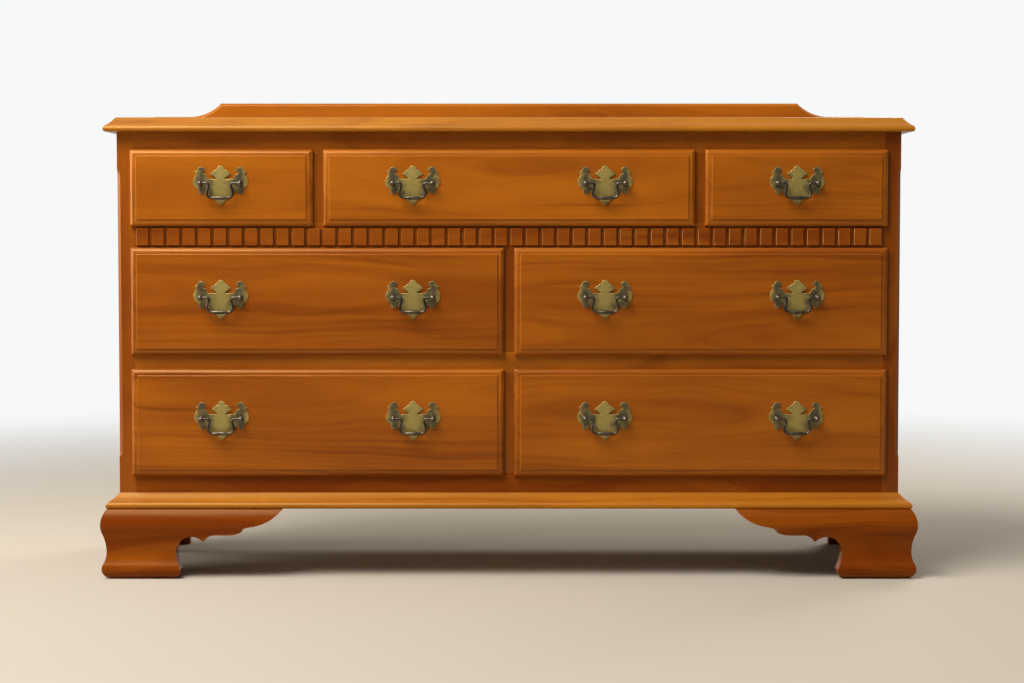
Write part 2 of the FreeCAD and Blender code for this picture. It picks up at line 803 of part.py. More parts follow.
def front_profile(low, high, low_inset, high_inset):
    """Section of a drawer front as (depth, along): inset, lip, ovolo, bead and raised field."""
    ledge = "-(front_proud - bead_step)"
    return [("front_inset", low_inset),
            ("-lip_gap", low_inset),
            ("-lip_gap", low),
            ("-lip_edge", low),
            (ledge, low + " + ovolo_run", 0.25),
            (ledge, low + " + bead_run"),
            ("-front_proud", low + " + bead_run"),
            ("-front_proud", high + " - bead_run"),
            (ledge, high + " - bead_run"),
            (ledge, high + " - ovolo_run"),
            ("-lip_edge", high, 0.25),
            ("-lip_gap", high),
            ("-lip_gap", high_inset),
            ("front_inset", high_inset)]


def flipped(corners):
    """The same outline with its two directions exchanged, so its arcs change side."""
    return [(corner[1], corner[0]) + tuple(-bulge for bulge in corner[2:]) for corner in corners]


def front_blank(name, left, width, low, height):
    """A drawer front moulded on all four edges, with mitred corners."""
    upright = front_profile("-lip_overlap", height + " + lip_overlap",
                            "runner_clear", height + " - drawer_clear")
    level = front_profile("-lip_overlap", width + " + lip_overlap",
                          "drawer_clear", width + " - drawer_clear")
    along = prism(name + "_front_along", "YZ_Plane", upright, width + " + 2 * lip_overlap",
                  (left + " - lip_overlap", FACE, low))
    above = prism(name + "_front_above", "XY_Plane", flipped(level), height + " + 2 * lip_overlap",
                  (left, FACE, low + " - lip_overlap"))
    return pair("Common", name + "_front_blank", along, above)


def side_corners(height, tails):
    """A drawer side seen from its end: a board with dovetails on its front edge."""
    rear = "front_inset + " + DRAWER_DEPTH
    tip = "front_inset - tail_length"
    low = "runner_clear"
    high = height + " - box_clear"
    pitch = "((%s - box_clear - runner_clear) / %d)" % (height, tails)
    corners = [(rear, low), ("front_inset", low)]
    for tail in range(tails):
        under = "%s + %d * %s + pin_width / 2" % (low, tail, pitch)
        over = "%s + %d * %s - pin_width / 2" % (low, tail + 1, pitch)
        corners += [("front_inset", under + " + tail_flare"), (tip, under),
                    (tip, over), ("front_inset", over + " - tail_flare")]
    return corners + [("front_inset", high), (rear, high)]


def make_drawer(name, left, width, low, height, tails, pulls):
    """A drawer: front, dovetailed box, back plates, posts and one bail for each pull."""
    outside = "%s + drawer_clear" % left
    inside = "%s + drawer_side" % outside
    clear = "(%s - 2 * drawer_clear - 2 * drawer_side)" % width
    rear = "%s + front_inset + %s" % (FACE, DRAWER_DEPTH)
    tray_low = "%s + runner_clear + tray_lift" % low
    tray_high = tray_low + " + tray_thick"
    tray = board(name + "_tray",
                 (inside + " - tray_groove", FACE + " + front_inset - tray_groove", tray_low),
                 (clear + " + 2 * tray_groove", DRAWER_DEPTH + " + tray_groove", "tray_thick"))
    back = board(name + "_back",
                 (inside + " - back_dado", rear + " - back_set - drawer_back", tray_high),
                 (clear + " + 2 * back_dado", "drawer_back",
                  "%s - box_clear - back_drop - runner_clear - tray_lift - tray_thick" % height))
    corners = side_corners(height, tails)
    blanks = [prism(name + "_left_blank", "YZ_Plane", corners, "drawer_side", (outside, FACE, low)),
              prism(name + "_right_blank", "YZ_Plane", corners, "drawer_side",
                    (inside + " + " + clear, FACE, low))]
    sides = [cut(blank.Name + "_side", blank, [tray, back]) for blank in blanks]
    node(group(name + "_box", sides + [back, tray]), name + "_drawer_box")

    field = FACE + " - front_proud"
    level = "%s + %s / 2 + pull_lift" % (low, height)
    middle = "%s + %s / 2" % (left, width)
    holes = []
    plates = []
    posts = []
    for pull_name, offset in pulls:
        tag = name + pull_name
        centre = "%s + %s" % (middle, offset)
        plates.append(copy_of(tag + "_plate", plate, (centre, field + " - plate_thick", level)))
        for side, sign, angle in (("_left", "-", 0), ("_right", "+", 180)):
            across = "%s %s post_spacing / 2" % (centre, sign)
            hole = copy_of(tag + side + "_hole", stem_hole, (across, field + " - plate_thick", level))
            turn(hole, (1, 0, 0), -90)
            holes.append(hole)
            stud = copy_of(tag + side + "_post", post, (across, field + " - plate_thick", level))
            turn(stud, (0, 1, 0), angle)
            posts += [stud, copy_of(tag + side + "_nut", nut, (across, FACE + " + front_inset", level))]
        hung = copy_of(tag + "_hung", bail, (centre, field + " - plate_thick - post_axis", level))
        node(group(tag + "_bail_node", [hung]), tag + "_bail")
    front = front_blank(name, left, width, low, height)
    node(cut(name + "_front", front, blanks + [tray] + holes), name + "_drawer_front")
    node(group(name + "_plates", plates), name + "_pull_plates")
    node(group(name + "_posts", posts), name + "_pull_posts")


def make_drawers():
    """Three drawers in the shallow top row, two in each deep row."""
    one = (("", "0"),)
    two = (("_left", "-pull_spacing / 2"), ("_right", "pull_spacing / 2"))
    small = "small_opening"
    wide = "(2 * %s)" % CENTRE_EDGE
    deep = "(%s - divider_width / 2)" % STILE_EDGE
    far_left = "(-%s)" % STILE_EDGE
    shallow_tails = 3
    deep_tails = 4
    make_drawer("top_left", far_left, small, TOP_ROW, "shallow_opening", shallow_tails, one)
    make_drawer("top_centre", "(-%s)" % CENTRE_EDGE, wide, TOP_ROW, "shallow_opening",
                shallow_tails, two)
    make_drawer("top_right", "(%s - small_opening)" % STILE_EDGE, small, TOP_ROW, "shallow_opening",
                shallow_tails, one)
    for row_name, level in (("middle", MIDDLE_ROW), ("bottom", LOW_ROW)):
        make_drawer(row_name + "_left", far_left, deep, level, "deep_opening", deep_tails, two)
        make_drawer(row_name + "_right", "(divider_width / 2)", deep, level, "deep_opening",
                    deep_tails, two)


def make_case():
    """The standing case with its front frame, mouldings, feet and web frames."""
    top_left, top_right, middle, low = make_dividers()
    rails = [make_rail("bottom_rail", "foot_height", "bottom_rail", [low]),
             make_rail("middle_rail", "(%s - middle_rail)" % MIDDLE_ROW, "middle_rail", [low, middle]),
             make_rail("dentil_rail", "(%s - dentil_rail)" % TOP_ROW, "dentil_rail",
                       [middle, top_left, top_right]),
             make_rail("top_rail", "(%s - top_rail)" % CASE_TOP, "top_rail", [top_left, top_right])]
    make_stiles(rails)
    make_case_boards()
    make_runners()
    make_top()
    make_gallery()
    make_dentils()
    make_base_moulding()
    make_feet()


def check_and_write():
    """Refuse a failed or empty piece, then write every node."""
    doc.recompute()
    for item in doc.Objects:
        if "Invalid" in item.State or "Error" in item.State:
            raise RuntimeError("%s failed: %s" % (item.Name, item.State))
    for piece in nodes:
        if piece.Shape.isNull() or not piece.Shape.isValid() or not piece.Shape.Solids:
            raise RuntimeError("%s has no sound shape" % piece.Label)
    for piece in nodes:
        piece.Shape.exportStep("parts/%s.step" % piece.Label)


make_case()
make_drawers()
check_and_write()
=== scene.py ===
import json
import math
import random

import bmesh
import bpy
from bpy.props import FloatProperty, FloatVectorProperty, IntProperty, PointerProperty
from mathutils import Matrix, Vector

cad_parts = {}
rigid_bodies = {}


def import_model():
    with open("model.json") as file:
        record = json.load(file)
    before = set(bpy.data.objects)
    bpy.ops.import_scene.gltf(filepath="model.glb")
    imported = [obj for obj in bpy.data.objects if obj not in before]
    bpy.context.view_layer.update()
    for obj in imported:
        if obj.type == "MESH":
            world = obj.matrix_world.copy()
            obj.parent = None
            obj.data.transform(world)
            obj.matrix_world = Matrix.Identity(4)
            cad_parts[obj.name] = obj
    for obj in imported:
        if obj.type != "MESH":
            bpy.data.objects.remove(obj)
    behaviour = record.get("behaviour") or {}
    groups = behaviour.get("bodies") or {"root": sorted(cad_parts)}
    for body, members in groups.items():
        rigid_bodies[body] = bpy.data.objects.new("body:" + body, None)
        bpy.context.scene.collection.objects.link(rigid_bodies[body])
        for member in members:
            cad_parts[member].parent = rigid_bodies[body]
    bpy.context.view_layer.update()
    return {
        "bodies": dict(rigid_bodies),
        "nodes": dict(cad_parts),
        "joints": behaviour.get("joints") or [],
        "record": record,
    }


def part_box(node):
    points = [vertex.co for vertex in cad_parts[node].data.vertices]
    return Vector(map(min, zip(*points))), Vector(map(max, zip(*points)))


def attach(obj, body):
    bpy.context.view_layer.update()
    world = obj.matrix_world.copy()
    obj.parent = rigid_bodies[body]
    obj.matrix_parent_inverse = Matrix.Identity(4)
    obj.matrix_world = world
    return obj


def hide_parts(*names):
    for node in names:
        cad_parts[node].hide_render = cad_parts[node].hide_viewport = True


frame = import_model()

bl_info = {
    "name": "Low chest of drawers",
    "version": (1, 0, 0),
    "blender": (4, 5, 0),
    "location": "View3D > Sidebar > Chest",
    "description": "Dresses the chest's solids in stained wood and aged brass",
    "category": "Object",
}

BODY_OF = {node: body for body, nodes in frame["record"]["behaviour"]["bodies"].items() for node in nodes}
SLOT_OF = {part["node"]: part["material_slot"] for part in frame["record"]["subparts"]}
HINGE_AT = {joint["child"]: Vector(joint["pos_m"]) for joint in frame["joints"] if joint["type"] == "hinge"}
DRAWERS = [body for body in frame["bodies"] if body.endswith("_drawer")]
BAILS = [body for body in frame["bodies"] if body.endswith("_bail")]

STAINED = [node for node, slot in SLOT_OF.items() if slot in ("case_wood", "front_wood")]
UNSTAINED = [node for node, slot in SLOT_OF.items() if slot in ("inner_wood", "back_wood")]
FEET = [node for node in STAINED if node.endswith("_foot")]
TOP_ROW = [node for node in SLOT_OF if node.startswith("top_") and "_drawer_" in node]
DULL = FEET + ["bottom_rail"]

# Share of the darker stain that a node shows, where it isn't the usual one. The shares are partly painted
# light and shade: the mouldings and the top row of drawers lighter as if lit from above, the middle rail
# lighter, and the stiles, dentils, dividers, feet and bottom rail darker with painted shade.
USUAL_STAIN = 0.45
STAIN_AND_SHADE_OF = {
    **dict.fromkeys(("top_board", "gallery_board", "base_moulding"), -0.08),
    **dict.fromkeys(TOP_ROW, 0.1),
    "middle_rail": 0.25,
    **dict.fromkeys(("left_stile", "dentil_rail", "drawer_dividers"), 0.75),
    **dict.fromkeys(FEET, 0.95),
    "right_stile": 0.95,
    "bottom_rail": 1.2,
}

# Plate edge, left half from the pendant's point up: shares of half the width and of rise or drop,
# then the bulge of the arc that leads there, which is twice its height over its chord
PLATE_EDGE = [
    (0, -1, 0),
    (-0.155, -0.81, 0.1),
    (-0.185, -0.755, 0.2),
    (-0.26, -0.735, -0.2),
    (-0.47, -0.43, 0.12),
    (-0.585, -0.345, -0.15),
    (-0.60, -0.43, -0.1),
    (-0.80, -0.355, 0.8),
    (-0.81, -0.275, 0),
    (-0.895, 0.44, 0.55),
    (-0.935, 0.665, -0.25),
    (-0.84, 0.745, -0.2),
    (-0.565, 0.72, 0.95),
    (-0.655, 0.63, 0.25),
    (-0.545, 0.515, -0.5),
    (-0.44, 0.24, -0.1),
    (-0.20, 0.225, 0.08),
    (-0.155, 0.29, -0.5),
    (-0.365, 0.50, -0.08),
    (-0.26, 0.64, 0.45),
    (-0.145, 0.77, 0.45),
    (0, 1, 0.4),
]


def length(name, description, default):
    """A length that a user may change, in metres."""
    return FloatProperty(name=name, description=description, default=default, min=0.0, precision=5,
                         subtype="DISTANCE", unit="LENGTH")


def colour(name, description, default):
    """A colour that a user may change."""
    return FloatVectorProperty(name=name, description=description, default=default, size=3,
                               min=0.0, max=1.0, subtype="COLOR")


def share(name, description, default):
    """A plain factor that a user may change."""
    return FloatProperty(name=name, description=description, default=default, min=0.0, max=1.0,
                         subtype="FACTOR")


def angle(name, description, degrees):
    """An angle that a user may change, in radians."""
    return FloatProperty(name=name, description=description, default=math.radians(degrees),
                         subtype="ANGLE", unit="ROTATION")


def watts(name, description, default):
    """The power of a lamp, which a user may change."""
    return FloatProperty(name=name, description=description, default=default, min=0.0,
                         subtype="POWER", unit="POWER")


class ChestShape(bpy.types.PropertyGroup):
    """Sizes of the details that the solids leave plain."""
    edge_round: length("Edge round", "Rounding of the wood's long edges", 0.0007)
    plate_half: length("Plate half width", "Half the width of a back plate", 0.052)
    plate_rise: length("Plate rise", "Height of a back plate over its posts", 0.033)
    plate_drop: length("Plate drop", "Depth of a back plate under its posts", 0.041)
    plate_thick: length("Plate thickness", "Thickness of a back plate", 0.0018)
    plate_rim: length("Plate rim", "Rounding of a back plate's edge", 0.0007)
    plate_dome: length("Plate dome", "Swell of the middle of a back plate", 0.0012)
    post_half: length("Half boring", "Half the distance between a pull's two posts", 0.0375)
    post_axis: length("Post axis", "Distance of a bail's pins from the plate", 0.012)
    head: length("Post head", "Diameter of a post's ball head", 0.010)
    neck: length("Post neck", "Diameter of a post's neck", 0.006)
    collar: length("Post collar", "Diameter of a post's collar", 0.0095)
    stem: length("Post stem", "Diameter of a post's stem", 0.004)
    stem_reach: length("Stem reach", "Length of a post's stem inside a drawer", 0.005)
    nut: length("Nut", "Width of the square nut inside a drawer", 0.008)
    nut_thick: length("Nut thickness", "Thickness of the square nut", 0.003)
    wire: length("Bail wire", "Diameter of a bail's wire", 0.0048)
    grip: length("Bail grip", "Diameter of a bail's swelled grip", 0.0074)
    grip_length: length("Grip length", "Length of a bail's swelled grip", 0.028)
    bail_drop: length("Bail drop", "Distance of the grip below the pins", 0.0275)
    bail_elbow: length("Bail elbow", "Bend radius beside the posts", 0.004)
    bail_corner: length("Bail corner", "Bend radius beside the grip", 0.0095)
    bail_set: length("Bail set-in", "Distance from a post's axis to the bend", 0.0125)
    bail_splay: angle("Bail splay", "Outward slope of a bail's legs", 16)
    dentil_count: IntProperty(name="Dentils", description="Teeth of the dentil band", default=48, min=2)
    dentil_gap: length("Dentil gap", "Gap between two teeth", 0.007)
    dentil_back: length("Dentil backing", "Thickness of the strip behind the teeth", 0.002)
    nail_head: length("Nail head", "Diameter of the nails in the back", 0.006)
    nail_proud: length("Nail height", "Height of a nail's head over the back", 0.0003)
    nail_gap: length("Nail spacing", "Distance between two nails in the back", 0.13)


class ChestFinish(bpy.types.PropertyGroup):
    """Colours of the stained wood, the bare wood and the brass."""
    # Painted highlight: a lighter, yellower colour for the mouldings and some top-row drawers, standing in
    # for the light that falls on them from above
    gold: colour("Gold", "Lightest stain, on the mouldings", (0.41, 0.155, 0.0090))
    honey: colour("Honey", "Light stain", (0.42, 0.117, 0.0045))
    amber: colour("Amber", "Dark stain", (0.185, 0.031, 0.0010))
    umber: colour("Umber", "Dark grain lines", (0.10, 0.019, 0.0015))
    varnish: colour("Varnish", "Tint of the varnish's shine", (1.0, 0.80, 0.38))
    bare: colour("Bare wood", "Inner boards", (0.52, 0.345, 0.175))
    bare_dark: colour("Bare wood grain", "Grain of the inner boards", (0.30, 0.17, 0.075))
    brass: colour("Brass", "Rubbed brass of the plates", (0.42, 0.32, 0.090))
    patina: colour("Patina", "Darkened brass of the plates", (0.10, 0.080, 0.042))
    antique: colour("Antique brass", "Bails and posts", (0.125, 0.106, 0.078))
    nail: colour("Nail", "Nails in the back", (0.16, 0.15, 0.14))
    gloss: share("Roughness", "Roughness of the varnish", 0.27)
    shine: share("Shine", "Strength of the varnish's shine", 0.5)
    dull_shine: share("Dull shine", "Strength of the shine on the feet and the bottom rail", 0.2)


class ChestStage(bpy.types.PropertyGroup):
    """Camera, floor and light."""
    lens: FloatProperty(name="Lens", description="Focal length on a 36 mm sensor", default=73.83,
                        subtype="DISTANCE_CAMERA", unit="CAMERA")
    camera_place: FloatVectorProperty(name="Camera", description="Place of the camera", unit="LENGTH",
                                      default=(0.0057, -4.176, 0.6505), subtype="TRANSLATION")
    camera_tilt: angle("Tilt", "Downward tilt of the camera", 2.903)
    backdrop: colour("Backdrop", "Colour behind the chest", (0.93, 0.94, 0.94))
    floor: colour("Floor", "Colour of the floor", (0.51, 0.465, 0.40))
    lamp_tint: colour("Lamp tint", "Colour of the lamps", (1.0, 0.95, 0.87))
    key_power: watts("Key light", "Soft light from the upper left", 217.0)
    back_power: watts("Back light", "Soft light from behind on the right", 60.0)
    side_power: watts("Side light", "Soft light from the left", 45.0)
    ambient: share("Ambient", "Even light from all round", 0.22)
    room: share("Room", "Brightness of the room in front of the chest, as its finish mirrors it", 0.10)
    open_room: share("Open room", "How much of the backdrop the finish mirrors elsewhere", 0.7)


# Shader and geometry nodes

class Wire:
    """One output of a node, so that maths on values reads as plain expressions."""

    def __init__(self, nodes, socket):
        self.nodes = nodes
        self.socket = socket

    def also(self, name):
        """Another output of the same node."""
        return Wire(self.nodes, self.socket.node.outputs[name])

    def __add__(self, other):
        return self.nodes.maths("ADD", self, other)

    def __radd__(self, other):
        return self.nodes.maths("ADD", other, self)

    def __sub__(self, other):
        return self.nodes.maths("SUBTRACT", self, other)

    def __mul__(self, other):
        return self.nodes.maths("MULTIPLY", self, other)


class Nodes:
    """Adds nodes to one tree."""

    def __init__(self, tree):
        self.tree = tree
        tree.nodes.clear()

    def add(self, kind, sockets=None, out=None, **settings):
        """A node of any type, with the value, link or list of links of each socket, and its settings."""
        made = self.tree.nodes.new(kind)
        for key, setting in settings.items():
            setattr(made, key, setting)
        inputs = {socket.identifier: socket for socket in made.inputs}
        for key, item in (sockets or {}).items():
            wires = item if isinstance(item, list) else [item]
            if isinstance(wires[0], Wire):
                for wire in wires:
                    self.tree.links.new(wire.socket, inputs[key])
            else:
                inputs[key].default_value = item
        outputs = {socket.identifier: socket for socket in made.outputs}
        if not outputs:
            return None
        return Wire(self, outputs[out] if out else made.outputs[0])

    def maths(self, operation, first, second):
        """Plain maths on two values or wires."""
        return self.add("ShaderNodeMath", {"Value": first, "Value_001": second}, operation=operation)

    def attribute(self, name, out="Fac"):
        """A value that the mesh itself carries."""
        return self.add("ShaderNodeAttribute", out=out, attribute_name=name)

    def stretch(self, vector, scale):
        """A place with each of its axes scaled."""
        return self.add("ShaderNodeVectorMath", {"Vector": vector, "Vector_001": scale}, out="Vector",
                        operation="MULTIPLY")

    def noise(self, vector, detail=2.0, roughness=0.5, scale=1.0):
        """Soft noise, mostly between 0.3 and 0.7."""
        sockets = {"Vector": vector, "Scale": scale, "Detail": detail, "Roughness": roughness}
        return self.add("ShaderNodeTexNoise", sockets, out="Fac")

    def step(self, value, low, high):
        """A smooth step from 0 at low to 1 at high."""
        sockets = {"Value": value, "From Min": low, "From Max": high}
        return self.add("ShaderNodeMapRange", sockets, out="Result", interpolation_type="SMOOTHSTEP")

    def blend(self, factor, first, second):
        """One colour turning into another."""
        sockets = {"Factor_Float": factor, "A_Color": first, "B_Color": second}
        return self.add("ShaderNodeMix", sockets, out="Result_Color", data_type="RGBA")

    def bump(self, height, strength, distance):
        """A normal that follows a height."""
        sockets = {"Strength": strength, "Distance": distance, "Height": height}
        return self.add("ShaderNodeBump", sockets, out="Normal")

    def scatter(self, points, piece):
        """Copies of an object's mesh on every point."""
        mesh = self.add("GeometryNodeObjectInfo", {"Object": piece}, out="Geometry")
        return self.add("GeometryNodeInstanceOnPoints", {"Points": points, "Instance": mesh})

    def store(self, geometry, name, value, data_type):
        """A mesh that carries a value at every point."""
        sockets = {"Geometry": geometry, "Name": name, "Value": value}
        return self.add("GeometryNodeStoreNamedAttribute", sockets, data_type=data_type, domain="POINT")

    def surface(self, sockets):
        """The shader and the material's output."""
        shader = self.add("ShaderNodeBsdfPrincipled", sockets)
        self.add("ShaderNodeOutputMaterial", {"Surface": shader})


def new_material(name):
    """An empty material and its nodes."""
    material = bpy.data.materials.new(name)
    material.use_nodes = True
    return material, Nodes(material.node_tree)


def opaque(rgb, gain=1.0):
    """A colour for a socket, made lighter or darker by a gain."""
    return (*(value * gain for value in rgb), 1.0)


def wood_grain(nodes):
    """Year rings, pores, clouds and curl of a board, along its own grain direction."""
    grain = nodes.attribute("grain", "Vector")
    along = nodes.add("ShaderNodeSeparateXYZ", {"Vector": grain}, out="X")
    cross = nodes.stretch(grain, (0.0, 1.0, 1.0))
    radius = nodes.add("ShaderNodeVectorMath", {"Vector": cross}, out="Value", operation="LENGTH")
    wander = nodes.noise(nodes.stretch(grain, (1.2, 4.0, 4.0)))
    ripple = nodes.noise(nodes.stretch(grain, (9.0, 40.0, 40.0)))
    growth = radius + wander * 0.085 + ripple * 0.006
    years = nodes.add("ShaderNodeCombineXYZ", {"X": growth * 120.0, "Y": along * 1.6})
    rings = nodes.noise(years, detail=3.0, roughness=0.6)
    streaks = nodes.noise(nodes.stretch(grain, (7.0, 360.0, 360.0)), detail=3.0, roughness=0.6)
    dashes = nodes.noise(nodes.stretch(grain, (90.0, 1500.0, 1500.0)), detail=1.0)
    pores = nodes.step(streaks, 0.56, 0.74) + nodes.step(dashes, 0.62, 0.72)
    clouds = nodes.step(nodes.noise(nodes.stretch(grain, (2.0, 12.0, 12.0)), detail=4.0), 0.30, 0.70)
    curl = nodes.noise(nodes.stretch(grain, (30.0, 6.0, 6.0)))
    return rings, pores, clouds, curl, streaks


def varnished_wood(finish, name, shine):
    """Honey-stained wood under satin varnish, paler where its edges are rubbed and carry a painted
    highlight, with painted light and shade in each piece's tone.
    """
    material, nodes = new_material(name)
    rings, pores, clouds, curl, streaks = wood_grain(nodes)
    tone = nodes.attribute("tone")
    rub = nodes.attribute("rub")
    # Painted highlight: tones below 0.1, on the mouldings and on some top-row drawers, turn towards the
    # lighter, yellower gold, as if lit from above
    pale = nodes.blend(nodes.step(tone, -0.3, 0.1), opaque(finish.gold), opaque(finish.honey))
    # The tone carries each piece's share of dark stain, partly painted light and shade, with a random
    # spread; clouds and rings add real grain
    stain = tone * 0.7 + clouds * 0.38 + nodes.step(rings, 0.3, 0.7) * 0.37 - 0.20
    umber = opaque(finish.umber)
    body = nodes.blend(stain, pale, opaque(finish.amber))
    body = nodes.blend(nodes.step(rings, 0.56, 0.74) * 0.33, body, umber)
    body = nodes.blend(pores * 0.20, body, umber)
    body = nodes.blend((curl - 0.4) * 0.25, body, opaque(finish.umber, 2.0))
    # Painted highlight, partly real rub: the rounded edges are lightened towards a brighter honey
    body = nodes.blend(rub * 0.35, body, opaque(finish.honey, 1.3))
    normal = nodes.bump(streaks * 0.6 + rings * 0.4, strength=0.10, distance=0.0004)
    nodes.surface({"Base Color": body, "Roughness": finish.gloss + streaks * 0.12 - rub * 0.10,
                   "Specular IOR Level": shine, "Specular Tint": opaque(finish.varnish),
                   "Normal": normal})
    return material


def stained_wood(finish):
    """The varnished wood of the case and the drawer fronts."""
    return varnished_wood(finish, "stained_wood", finish.shine)


def dull_wood(finish):
    """The same wood with a duller varnish, on the feet and the bottom rail."""
    return varnished_wood(finish, "dull_wood", finish.dull_shine)


def bare_wood(finish):
    """Planed wood without a finish, for what the drawers and the back are made of."""
    material, nodes = new_material("bare_wood")
    rings, pores, clouds, curl, streaks = wood_grain(nodes)
    tone = nodes.attribute("tone")
    dark = opaque(finish.bare_dark)
    body = nodes.blend(clouds * 0.25 + tone * 0.25, opaque(finish.bare), dark)
    body = nodes.blend(nodes.step(rings, 0.45, 0.75) * 0.5, body, dark)
    body = nodes.blend(pores * 0.35, body, opaque(finish.bare_dark, 0.7))
    body = nodes.blend((curl - 0.4) * 0.2, body, dark)
    normal = nodes.bump(streaks, strength=0.35, distance=0.0005)
    nodes.surface({"Base Color": body, "Roughness": 0.62 + streaks * 0.2, "Specular IOR Level": 0.3,
                   "Normal": normal})
    return material


def aged_plate(finish):
    """Brass rubbed bright in the middle and along the rim, darkened towards the wings, with a painted
    highlight on the rounded rim.
    """
    material, nodes = new_material("aged_plate")
    place = nodes.add("ShaderNodeTexCoord", out="Object")
    wear = nodes.attribute("wear")
    rub = nodes.attribute("rub")
    cloud = nodes.noise(place, detail=4.0, scale=90.0)
    scratch = nodes.noise(nodes.stretch(place, (160.0, 900.0, 900.0)), detail=3.0, roughness=0.65)
    bright = nodes.step(wear + (cloud - 0.5) * 1.5, 0.0, 1.0)
    specks = nodes.step(nodes.noise(place, detail=1.0, scale=420.0), 0.66, 0.76)
    body = nodes.blend(bright, opaque(finish.patina), opaque(finish.brass))
    body = nodes.blend(specks * 0.5, body, opaque(finish.patina))
    # Painted highlight, partly real rub: the rounded rim is lightened towards a brighter brass
    body = nodes.blend(rub * 0.45, body, opaque(finish.brass, 1.25))
    normal = nodes.bump(cloud + scratch * 0.3, strength=0.12, distance=0.0003)
    nodes.surface({"Base Color": body, "Metallic": 0.55 + bright * 0.1, "Roughness": 0.36 + scratch * 0.22,
                   "Normal": normal})
    return material


def antique_brass(finish):
    """Dark brass with a worn shine, for posts and bails; the front of each ball head is lighter, partly rub
    and partly a painted highlight.
    """
    material, nodes = new_material("antique_brass")
    place = nodes.add("ShaderNodeTexCoord", out="Object")
    rub = nodes.attribute("rub")
    cloud = nodes.noise(place, detail=4.0, scale=160.0)
    spots = nodes.step(cloud, 0.35, 0.75)
    body = nodes.blend(spots, opaque(finish.antique), opaque(finish.antique, 0.4))
    # Painted highlight, partly real rub: the front of each ball head is lightened
    body = nodes.blend(rub * 0.4, body, opaque(finish.antique, 2.2))
    normal = nodes.bump(cloud, strength=0.10, distance=0.0003)
    nodes.surface({"Base Color": body, "Metallic": 1.0, "Roughness": 0.25 + cloud * 0.16, "Normal": normal})
    return material


def nail_steel(finish):
    """Dull steel of the nails in the back."""
    material, nodes = new_material("nail_steel")
    place = nodes.add("ShaderNodeTexCoord", out="Object")
    cloud = nodes.noise(place, detail=3.0, scale=700.0)
    body = nodes.blend(cloud, opaque(finish.nail), opaque(finish.nail, 0.5))
    nodes.surface({"Base Color": body, "Metallic": 1.0, "Roughness": 0.45 + cloud * 0.2})
    return material


def finish_material(context, maker):
    """A material that several pieces share, made at its first use."""
    found = bpy.data.materials.get(maker.__name__)
    return found or maker(context.scene.chest_finish)


# Pieces

def scene_object(name, data):
    """An object in the scene."""
    item = bpy.data.objects.new(name, data)
    bpy.context.scene.collection.objects.link(item)
    return item


def add_piece(name, mesh, material, body, nodes=()):
    """Put a finished mesh in the scene, on its body and in place of its nodes."""
    mesh.materials.clear()
    mesh.materials.append(material)
    piece = scene_object(name, mesh)
    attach(piece, body)
    if nodes:
        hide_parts(*nodes)


def finished_mesh(item):
    """The plain mesh that an object's modifiers give; the object itself goes."""
    depsgraph = bpy.context.evaluated_depsgraph_get()
    mesh = bpy.data.meshes.new_from_object(item.evaluated_get(depsgraph), depsgraph=depsgraph)
    bpy.data.objects.remove(item)
    return mesh


def mesh_of(bm, name):
    """A new mesh from edited geometry, which is freed."""
    mesh = bpy.data.meshes.new(name)
    bm.to_mesh(mesh)
    bm.free()
    return mesh


def closed_shells(node):
    """The triangles of a node, solid by solid: a shell ends where no edge is left open."""
    mesh = frame["nodes"][node].data
    digits = 6
    shells = [[]]
    open_edges = set()
    for polygon in mesh.polygons:
        places = [mesh.vertices[index].co for index in polygon.vertices]
        corners = [tuple(round(value, digits) for value in place) for place in places]
        shells[-1].append(corners)
        for start, end in zip(corners, corners[1:] + corners[:1]):
            open_edges ^= {frozenset((start, end))}
        if not open_edges:
            shells.append([])
    return [shell for shell in shells if shell]


def add_board(bm, shell, draw, stain_and_shade_share):
    """Add one solid to a mesh and lay grain along its longest side."""
    grain_layer = bm.verts.layers.float_vector["grain"]
    tone_layer = bm.verts.layers.float["tone"]
    values_by_axis = list(zip(*(corner for face in shell for corner in face)))
    lows = [min(values) for values in values_by_axis]
    highs = [max(values) for values in values_by_axis]
    spans = [high - low for low, high in zip(lows, highs)]
    through, across, along = sorted(range(3), key=lambda axis: spans[axis])
    far = draw.uniform(0.0, 40.0)
    aside = draw.uniform(-0.35, 0.35) * spans[across]
    deep = draw.uniform(0.05, 0.13)
    # The tone is the node's share of dark stain, partly painted light and shade, plus a random spread
    tone = stain_and_shade_share + draw.uniform(-0.12, 0.12)
    made = {}
    for face in shell:
        for corner in face:
            if corner not in made:
                vert = bm.verts.new(corner)
                inside = [corner[axis] - (lows[axis] + highs[axis]) / 2 for axis in range(3)]
                vert[grain_layer] = (inside[along] + far, inside[across] + aside, inside[through] + deep)
                vert[tone_layer] = tone
                made[corner] = vert
        # A sliver with two corners in one place is left out
        if len(set(face)) == 3:
            bm.faces.new([made[corner] for corner in face])


